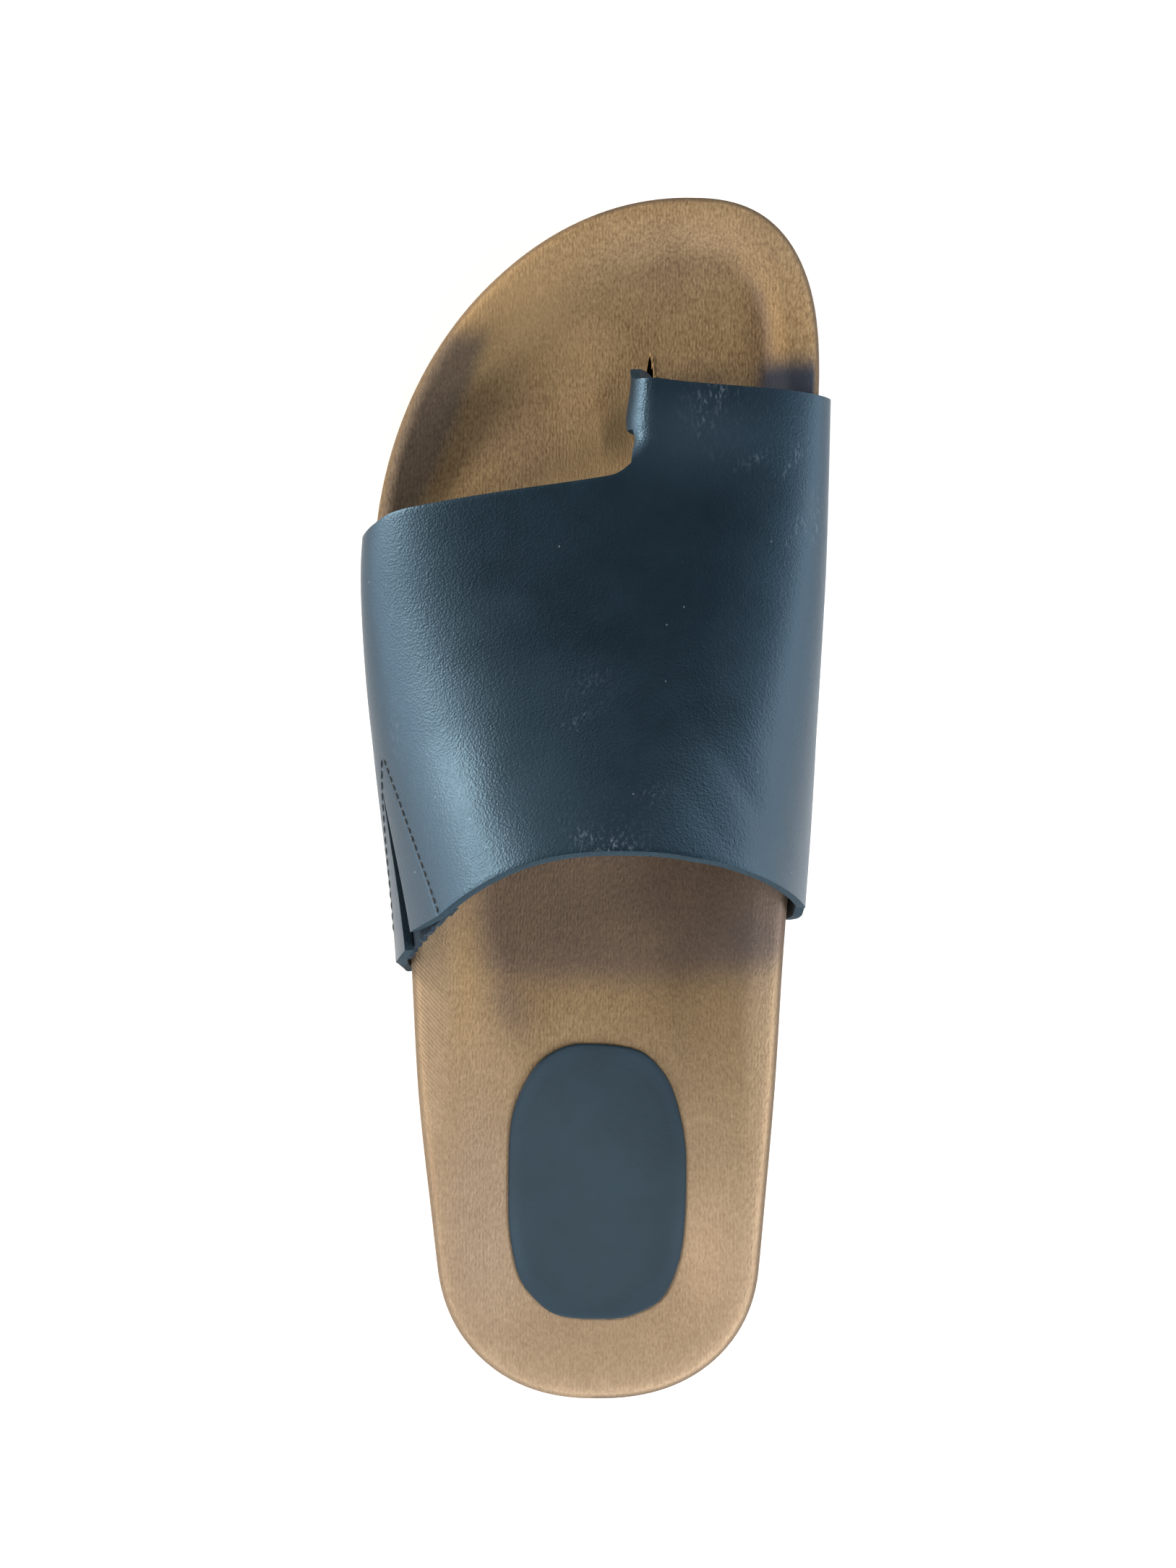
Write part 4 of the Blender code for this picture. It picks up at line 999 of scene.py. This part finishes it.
def upperGrid():
    # the hide's inner face in rows from the back edge to the loop's front, blank where there is no hide
    near, reach = upper["notchColumns"], upper["notchReach"]
    notchGirth = -reach * np.arange(near, 0, -1) / near
    crowded = np.linspace(1, 0, upper["lateralColumns"] + 1)[:-1] ** upper["columnCrowding"]
    lateralGirth = -(reach + (1 - reach) * crowded)
    medialGirth = np.linspace(0, 1, upper["medialColumns"])
    wallGirth = np.array(upper["wallGirths"])
    girth = np.concatenate([-wallGirth, lateralGirth, notchGirth, medialGirth, wallGirth[::-1]])
    tab = len(wallGirth) + len(lateralGirth) + near  # column where the tab leaves the loop
    tabSteps, reached = [], 0.0
    for end, count in ((upper["notchTurn"], near), *upper["tabRuns"]):
        tabSteps.extend(np.linspace(reached, end, count + 1)[1:])
        reached = end
    tabSteps = np.array(tabSteps)

    back = cutStation(backCut, girth, 123.0)
    front = cutStation(bandFrontCut, girth, 200.0)
    loopFront = cutStation(loopFrontCut, girth, 226.0)
    loopRear = upper["tabRear"] + (front - front[tab]) * 0.5
    bandRows, notchRows, loopRows = upper["bandRows"], upper["notchRows"], upper["loopRows"]
    x, s, z = (np.full((bandRows + notchRows + loopRows + 1, len(girth)), np.nan) for _ in range(3))
    for k in range(bandRows + 1):
        s[k] = back + (front - back) * k / bandRows
        x[k], z[k] = girthPoint(girth, s[k])
    onLoop = np.arange(len(girth)) >= tab
    for k in range(1, notchRows + loopRows + 1):
        row = bandRows + k
        if k <= notchRows:
            station = front + (loopRear - front) * k / notchRows
        else:
            station = loopRear + (loopFront - loopRear) * (k - notchRows) / loopRows
        loopX, loopZ = girthPoint(girth, station)
        s[row, onLoop], x[row, onLoop], z[row, onLoop] = station[onLoop], loopX[onLoop], loopZ[onLoop]
        columns = tab - 1 - np.arange(len(tabSteps))
        tabS = station[tab] + curve(upper["tabLead"], 1, tabSteps) * max(k - notchRows, 0) / loopRows
        tabX, tabZ = tabPoint(tabSteps, tabS)
        if k < notchRows:  # only the notch's own columns reach from band to tab
            columns, tabX, tabZ = columns[:near], tabX[:near], tabZ[:near]
            mix = smoothStep(0, 1, k / notchRows)
            tabS = front[columns] + (loopRear[tab] - front[columns]) * k / notchRows
            startX, startZ = girthPoint(girth[columns], tabS)
            tabX, tabZ = startX + (tabX - startX) * mix, startZ + (tabZ - startZ) * mix
            dent = upper["notchDent"] * math.sin(math.pi * k / notchRows)
            tabX = tabX + dent * tabSteps[:near] / tabSteps[near - 1]
        s[row, columns], x[row, columns], z[row, columns] = tabS, tabX, tabZ
    return girth, tab, x, s, z


def cutDart(bm):
    # V of the dart: two straight cuts that meet at the apex, and what lies between them taken out
    apex, behind = (Vector((float(lateralOffset(s, z)), s - last["length"] / 2, z)) * mm
                    for s, z in (dart["apex"], dart["back"]))
    through = Vector(dart["through"]).normalized()
    across = through.cross(behind - apex).normalized() * dart["backWidth"] / 2 * mm
    planes = [through.cross(behind + across * way - apex).normalized() for way in (1, -1)]

    def behindApex():
        for face in bm.faces:
            middle = face.calc_center_median()
            if middle.x < dart["lateralOf"] * mm and middle.y < apex.y:
                yield face, middle - apex

    for plane in planes:
        bisectFaces(bm, [face for face, _ in behindApex()], apex, plane)
    gone = [face for face, way in behindApex() if way.dot(planes[0]) < 0 < way.dot(planes[1])]
    bmesh.ops.delete(bm, geom=gone, context="FACES")

    # corner between the dart and its upper seam, cut off straight
    start, end = (Vector((x, s - last["length"] / 2, 0)) * mm for x, s in dart["cornerCut"])
    aside, ahead = dart["cornerRange"]
    corner = []
    for face in bm.faces:
        middle = face.calc_center_median()
        line = apex.z + (behind.z - apex.z) * (middle.y - apex.y) / (behind.y - apex.y)
        if middle.x < start.x + aside * mm and middle.y < start.y + ahead * mm and middle.z > line:
            corner.append(face)
    rear = (end - start).cross(Vector((0, 0, -1))).normalized()
    bisectFaces(bm, corner, start, rear, clear=True)


def makeUpper(grainSide, flesh, edge):
    girth, tab, x, s, z = upperGrid()
    rows, columns = x.shape
    bm = bmesh.new()
    order = gridRows(bm, columns, rows)
    place(order, *(np.nan_to_num(values.ravel()) for values in (x, s, z)))
    unused = [v for v, missing in zip(order, np.isnan(x.ravel())) if missing]
    bmesh.ops.delete(bm, geom=unused, context="VERTS")
    rowRange, columnRange = upper["rollRange"]
    rollRows = np.abs(np.arange(rows) - upper["bandRows"] - upper["notchRows"]) <= rowRange
    atRoll = rollRows[:, None] & (np.abs(np.arange(columns) - tab) <= columnRange)
    low, high = upper["bendGirths"]
    atBend = np.tile((np.abs(girth) > low) & (np.abs(girth) < high), rows)
    opened = [v for v, c in zip(order, atRoll.ravel()) if c and v.is_valid and not v.is_boundary]
    turned = [v for v, c in zip(order, atBend) if c and v.is_valid]
    # the roll opens softly into the band, and the hide turns under in a round bend
    for verts, rounds in ((opened, upper["rollRounds"]), (turned, upper["bendRounds"])):
        for _ in range(rounds):
            bmesh.ops.smooth_vert(bm, verts=verts, factor=0.5, use_axis_x=True, use_axis_y=False, use_axis_z=True)

    bm.normal_update()
    arched = [v for v in bm.verts if v.co.z > upper["foldsAbove"] * mm]
    offset = np.array([v.co.x for v in arched]) / mm
    station = np.array([v.co.y for v in arched]) / mm + last["length"] / 2
    for vert, lift in zip(arched, blots(upper["folds"], offset, station)):
        vert.co += vert.normal * lift * mm
    cutDart(bm)

    piece = makePiece("upperHide", bm, [grainSide, flesh, edge], "upper", 35)
    wall = piece.modifiers.new("hide", "SOLIDIFY")
    wall.thickness = upper["hide"] * mm
    wall.offset = 1.0
    wall.use_even_offset = True
    wall.material_offset = 1
    wall.material_offset_rim = 2
    worn = piece.modifiers.new("wornEdge", "BEVEL")
    worn.width = upper["edgeRound"] * mm
    worn.segments = 3
    worn.limit_method = "ANGLE"
    worn.angle_limit = math.radians(upper["edgeAngle"])
    applyModifiers(piece, 35)

    offset, station, height = vertPlaces(piece)
    low, high = upper["scuffHeights"]
    scuff = blots(upper["scuffs"], offset, station) * smoothStep(low, high, height)
    storeValues(piece, "scuff", np.clip(scuff, 0, 1))
    for name in ("creased", "paleLoopFlat"):
        storeValues(piece, name, np.clip(blots(upper[name], offset, station), 0, 1))
    # corners between grain side and cut edge, rubbed pale
    vertsOf = [set() for _ in range(3)]
    for face in piece.data.polygons:
        vertsOf[face.material_index].update(face.vertices)
    cornerWear = np.zeros(len(offset))
    cornerWear[list(vertsOf[0] & vertsOf[2])] = 1.0
    storeValues(piece, "cornerWear", cornerWear)
    # distance from each seam, and where thread is sewn
    sewn = np.zeros(len(offset))
    start, end = dart["sewnRun"]
    for name, seam in (("seamUpper", dart["upperSeam"]), ("seamLower", dart["lowerSeam"])):
        points, out = seamPoints(seam, 2)
        (_, s0, z0), (_, s1, z1) = points + out * upper["hide"]
        run = math.hypot(s1 - s0, z1 - z0)
        beside = ((station - s0) * (z1 - z0) - (height - z0) * (s1 - s0)) / run
        along = ((station - s0) * (s1 - s0) + (height - z0) * (z1 - z0)) / run**2
        storeValues(piece, name, beside)
        close = (offset < dart["sewnBeyond"]) & (np.abs(beside) < dart["sewnHalfWidth"])
        sewn = np.maximum(sewn, (along > start) & (along < end) & close)
    storeValues(piece, "sewn", sewn)


def makeStitches(sewing):
    bm = bmesh.new()
    thick, aim = dart["stitchThickness"] / 2, dart["stitchAim"]
    size = Matrix.Diagonal((dart["stitchLength"] / 2, thick, thick, 1))
    for seam in (dart["upperSeam"], dart["lowerSeam"]):
        points, out = seamPoints(seam, 200)
        points = points + out * (upper["hide"] - dart["stitchSink"])
        way = np.concatenate([[0], np.cumsum(np.linalg.norm(np.diff(points, axis=0), axis=1))])
        for at in np.arange(dart["stitchPitch"] / 2, way[-1], dart["stitchPitch"]):
            middle, ahead, normal = (Vector([np.interp(spot, way, line[:, k]) for k in range(3)])
                                     for spot, line in ((at, points), (at + aim, points), (at, out)))
            normal.normalize()
            run = (ahead - middle).normalized() if at + aim < way[-1] else run
            turn = Matrix((run, normal.cross(run), normal)).transposed().to_4x4()
            middle.y -= last["length"] / 2
            where = Matrix.Scale(mm, 4) @ Matrix.Translation(middle) @ turn @ size
            bmesh.ops.create_uvsphere(bm, u_segments=8, v_segments=6, radius=1.0, matrix=where)
    makePiece("dartStitches", bm, [sewing])


# thin triangle of hide sewn behind the dart, its back edge cut by hand
underlay = {
    "thickness": 1.2,
    "apexStation": 147.0,
    "heights": (42.0, 72.0),
    "apexHeights": (45.5, 47.5),
    "drawnIn": 0.8,
    "ragged": 0.6,
    "waves": ((2.1, 0, 0.5), (5.3, 1, 0.35)),  # of the ragged edge: closeness, start, share
    "columns": 45,
    "rows": 49,
}


def makeUnderlay(material):
    columns, rows = underlay["columns"], underlay["rows"]
    bm = bmesh.new()
    order = gridRows(bm, columns, rows)
    share = np.repeat(np.linspace(0, 1, rows), columns)
    up = np.tile(np.linspace(0, 1, columns), rows)
    low, high = (wide + (narrow - wide) * share for wide, narrow in zip(underlay["heights"], underlay["apexHeights"]))
    height = low + (high - low) * up
    back = np.full(len(share), 100.0)
    for _ in range(20):
        back = backCut(np.full(len(share), -1.0), lateralOffset(back, height))
    waves = sum(np.sin(height * closeness + start) * part for closeness, start, part in underlay["waves"])
    back = back + underlay["drawnIn"] + underlay["ragged"] * waves
    station = back + (underlay["apexStation"] - back) * share
    place(order, lateralOffset(station, height), station, height)
    bm.normal_update()
    if sum(f.normal.x for f in bm.faces) > 0:
        bmesh.ops.reverse_faces(bm, faces=bm.faces)
        bm.normal_update()
    for vert in bm.verts:
        vert.co -= vert.normal * last["gap"] * mm
    piece = makePiece("dartUnderlay", bm, [material], "dart_underlay")
    wall = piece.modifiers.new("hide", "SOLIDIFY")
    wall.thickness = underlay["thickness"] * mm
    wall.offset = -1.0
    applyModifiers(piece)


# heel patch: plain oval of thin leather glued into the heel of the footbed
heelPatch = {
    "station": 48.7,
    "offset": 0.1,
    "halfWidth": 20.0,
    "halfLength": 31.0,
    "frontPower": 2.65,
    "backPower": 2.95,
    "top": 0.5,
    "bottom": 0.05,
    "edgeStart": 0.15,
    "edgeRings": [(1.0, 0.55), (0.995, 0.82)],  # share of the oval, share of the top's height
    "topRings": [0.98, 0.94, 0.85, 0.7, 0.5, 0.3, 0.15, 0.0],
    "underRings": [0.985, 0.6, 0.3, 0.0],
    "sides": 120,
    "unevenCut": 0.004,
    "waves": ((7, 1, 1.0), (12, 0, 0.7)),  # of the uneven cut: how many, start, share
    "rimWear": (0.93, 1.02, 0.35),  # share of the oval where it starts and is full, amount
}


def makeHeelPatch(material):
    bm = bmesh.new()
    turn = np.linspace(0, 2 * math.pi, heelPatch["sides"], endpoint=False)
    power = 2 / np.where(np.sin(turn) > 0, heelPatch["frontPower"], heelPatch["backPower"])
    uneven = 1 + heelPatch["unevenCut"] * sum(part * np.sin(count * turn + start)
                                              for count, start, part in heelPatch["waves"])
    across = np.sign(np.cos(turn)) * np.abs(np.cos(turn)) ** power * heelPatch["halfWidth"] * uneven
    along = np.sign(np.sin(turn)) * np.abs(np.sin(turn)) ** power * heelPatch["halfLength"] * uneven
    top, bottom = heelPatch["top"], heelPatch["bottom"]

    def row(share, lift):
        x, s = heelPatch["offset"] + across * share, heelPatch["station"] + along * share
        return x, s, footbedTop(x, s) + lift

    start = startRing(bm, *row(1.0, heelPatch["edgeStart"]))
    edgeRows = [row(share, top * part) for share, part in heelPatch["edgeRings"]]
    growRings(bm, start, edgeRows + [row(share, top) for share in heelPatch["topRings"]])
    growRings(bm, start, [row(share, bottom) for share in heelPatch["underRings"]])
    closeSkin(bm)
    piece = makePiece("heelPatch", bm, [material], "heel_patch", 50)
    offset, station, _ = vertPlaces(piece)
    rim = np.hypot((offset - heelPatch["offset"]) / heelPatch["halfWidth"],
                   (station - heelPatch["station"]) / heelPatch["halfLength"])
    low, high, amount = heelPatch["rimWear"]
    storeValues(piece, "rimWear", smoothStep(low, high, rim) * amount)


# pale floor, camera straight above as in the photo, soft lights all round, most of them low
studio = {
    "floor": "#fcfcfb",
    "floorSize": 6.0,
    "floorGlow": 0.35,  # lit from below like a light table
    "camera": (-0.0019, 0.0032, 0.750),
    "lens": 73.51,
    "sensor": 36.0,
    "backdrop": "#f2f5f8",
    "horizon": 0.8,  # strength of the pale backdrop all round
    "sky": 0.015,  # and of the dim ceiling
    "horizonFade": (0.02, 0.24),  # height over distance where the backdrop starts to fade and ends
    # azimuth round the sandal (0 at the toe, 90 at the big toe side), elevation, distance, width, height, watts,
    # colour
    "softboxes": [
        (120, 14, 1.0, 0.50, 0.34, 11.5, "#ffffff"),
        (70, 9, 1.0, 0.80, 0.24, 3.0, "#ffffff"),
        (90, 38, 1.0, 0.50, 0.34, 1.5, "#ffffff"),
        (180, 16, 1.0, 0.60, 0.40, 6.0, "#ffffff"),
        (172, 40, 1.0, 0.60, 0.40, 3.6, "#ffffff"),
        (-88, 43, 1.0, 0.26, 0.24, 1.4, "#ffffff"),
        (-65, 25, 1.0, 0.26, 0.16, 1.7, "#fff4e6"),
        (-54, 18, 1.0, 0.18, 0.16, 6.8, "#fff4e6"),
        (-20, 30, 1.0, 0.40, 0.30, 0.6, "#ffffff"),
        (-76, 10, 1.0, 0.40, 0.24, 2.2, "#ffffff"),
        (32, 14, 1.0, 0.50, 0.34, 2.2, "#ffffff"),
        (-108, 11, 1.0, 0.60, 0.28, 4.0, "#ffffff"),
    ],
}


def makeStudio():
    bm = bmesh.new()
    bmesh.ops.create_grid(bm, x_segments=1, y_segments=1, size=studio["floorSize"] / 2)
    floor = addObject("paleFloor", meshFrom(bm, "paleFloor"))
    made, tree, shader = newMaterial("mattPaperFloor")
    setNode(tree, shader, {"Base Color": linear(studio["floor"]), "Roughness": 0.9,
                           "Emission Color": linear(studio["floor"]), "Emission Strength": studio["floorGlow"]}, None)
    floor.data.materials.append(made)

    for k, (azimuth, elevation, distance, width, height, watts, colour) in enumerate(studio["softboxes"]):
        light = bpy.data.lights.new("softbox%d" % k, "AREA")
        light.shape = "RECTANGLE"
        light.size, light.size_y = width, height
        light.energy = watts
        light.color = linear(colour)[:3]
        box = addObject("softbox%d" % k, light)
        a, e = math.radians(azimuth), math.radians(elevation)
        way = Vector((math.sin(a) * math.cos(e), math.cos(a) * math.cos(e), math.sin(e)))
        box.location = way * distance
        box.rotation_euler = way.to_track_quat("Z", "Y").to_euler()

    world = bpy.data.worlds.new("softSky")
    world.use_nodes = True
    tree = world.node_tree
    upward = addNode(tree, "SeparateXYZ", None, {0: addNode(tree, "TexCoord").outputs["Generated"]})
    bottom, top = studio["horizonFade"]
    belt = addNode(tree, "MapRange", {"interpolation_type": "SMOOTHSTEP", "From Min": bottom, "From Max": top,
                                      "To Min": studio["horizon"], "To Max": studio["sky"]},
                   {"Value": upward.outputs["Z"]})
    setNode(tree, tree.nodes["Background"], {"Color": linear(studio["backdrop"])}, {"Strength": belt})
    bpy.context.scene.world = world
    bpy.context.scene.view_settings.view_transform = "Standard"

    lens = bpy.data.cameras.new("aboveCamera")
    lens.sensor_fit = "AUTO"
    lens.sensor_width = studio["sensor"]
    lens.lens = studio["lens"]
    lens.clip_start = 0.01
    camera = addObject("aboveCamera", lens)
    camera.location = studio["camera"]
    bpy.context.scene.camera = camera
    print("studio ready")


makeOutsole(soleRubberMaterial())
cover = microfibreMaterial()
makeFootbed(cover)
makeFray(cover)
makeUpper(navyLeatherMaterial(), fibrousHideMaterial("suedeFleshSide", fleshSide),
          fibrousHideMaterial("dyedHideEdge", cutEdge))
makeUnderlay(fibrousHideMaterial("splitHideUnderlay", splitHide))
makeStitches(threadMaterial())
makeHeelPatch(patchLeatherMaterial())
makeStudio()
